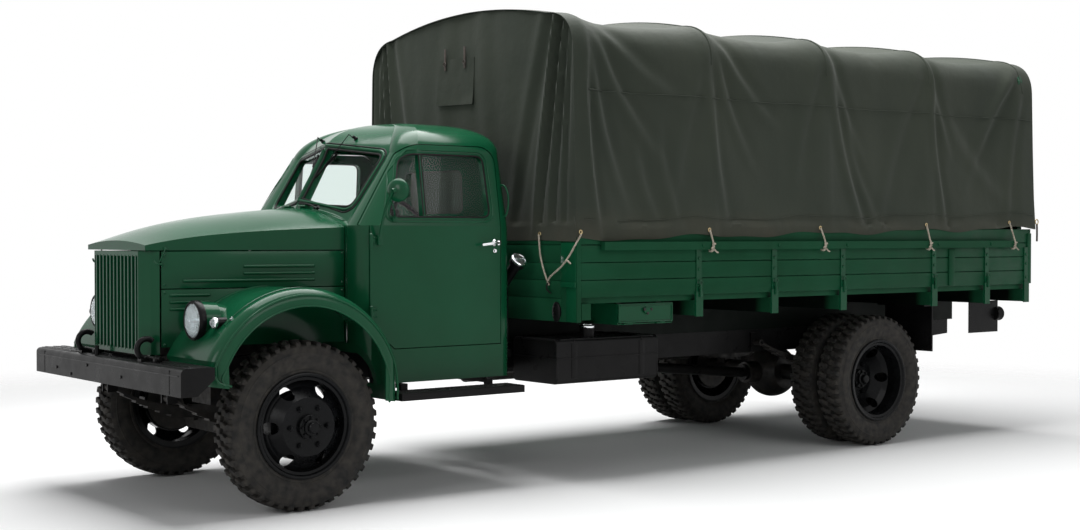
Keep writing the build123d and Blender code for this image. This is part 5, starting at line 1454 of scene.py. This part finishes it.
brass = new_finish("brass", {"Metallic": 1}, (50.0, (0.32, 0.24, 0.12), (0.45, 0.36, 0.2)),
                   (60.0, 0.3, 0.5))
hemp = new_finish(
    "hemp", {"Roughness": 0.9}, (70.0, (0.36, 0.31, 0.24), (0.56, 0.5, 0.41)),
    bump=("Wave", {"Scale": 60}, 0.7, 0.003, ("bands_direction", "DIAGONAL")))

tie_x = [front_axle_x + station for station in (-2.742, -3.786, -4.9, -5.905)]
eyelet_rings = [(0.006, 0), (0.013, 0), (0.0145, 0.002), (0.011, 0.004), (0.006, 0.001), (0.006, 0)]
eyelets, ropes = [], []


def rope(name, points, radius=0.0055):
    """A short taut length of hemp rope through places in the shared frame."""
    ropes.append(bar_piece(name, [Vector(point) for point in points], radius, 8))


for side in (1, -1):
    for place_x in [front_axle_x - 1.7] + tie_x:
        eyelets.append(round_piece("eyelets", eyelet_rings, wall_place(place_x, 1.492, 0.003, side),
                                   (0, side, 0), 18))
    for place_x in tie_x:
        start = wall_place(place_x, 1.492, 0.002, side) + Vector((0, side * 0.004, 0))
        rope("ties", [start, (place_x - 0.004, side * 1.176, 1.462), (place_x - 0.002, side * 1.187, 1.43),
                      (place_x + 0.004, side * 1.186, 1.398), (place_x + 0.006, side * 1.16, 1.386),
                      (place_x - 0.01, side * 1.15, 1.415)], 0.0062)
        for along, out, height in ((0.004, 1.19, 1.408), (-0.006, 1.19, 1.426), (0.006, 1.186, 1.388)):
            rope("knot", [(place_x + along - 0.011, side * out, height + 0.006),
                          (place_x + along + 0.011, side * out, height - 0.006)], 0.0068)
        rope("end", [(place_x - 0.004, side * 1.19, 1.4), (place_x - 0.026, side * 1.192, 1.38),
                     (place_x - 0.04, side * 1.19, 1.376)], 0.0052)
    eyelets.append(round_piece("eyelet", eyelet_rings, (canopy_front_x + 0.006, side * 0.8, 1.492),
                               (1, 0, 0), 18))
    hook = Vector((front_axle_x - 1.668, side * 0.884, 1.185))
    first = Vector((canopy_front_x + 0.014, side * 0.8, 1.49))
    second = Vector((front_axle_x - 1.69, side * 1.16, 1.49))
    for start, bend in ((first, (0.004, side * 0.026, -0.14)), (second, (0.042, -side * 0.095, -0.16))):
        rope("corner_rope", [start, start + Vector(bend), hook + Vector((0.012, 0, 0.02)), hook])
    rope("end", [second + Vector((0.042, -side * 0.085, -0.15)),
                 second + Vector((0.046, -side * 0.045, -0.172))])
    iron_hook = bar_piece("rope_hook", [hook + Vector(bend) for bend in (
        (-0.014, 0, 0.016), (0.012, 0, 0.01), (0.018, 0, -0.022), (0.004, side * 0.02, -0.05))], 0.0052, 8)
    finish_piece(iron_hook, chassis_enamel)
finish_piece(joined(*eyelets), brass)
finish_piece(joined(*ropes), hemp)

for side, sign in sides:
    corner = Vector((canopy_rear_x - 0.006, sign * 1.15, 1.588))
    eye = [corner + Vector((-0.012 + 0.018 * cos(turn), 0, 0.018 * sin(turn))) for turn in round_turns(12)]
    finish_piece(bar_piece(f"corner_ring_{side}", eye, 0.0042, closed=True), brass)
    toggle = bar_piece(f"corner_strap_{side}", [corner + Vector(bend) for bend in (
        (-0.014, 0, -0.018), (-0.016, 0, -0.07), (-0.015, 0, -0.15))], 0.0072, 8)
    finish_piece(toggle, strap_leather)
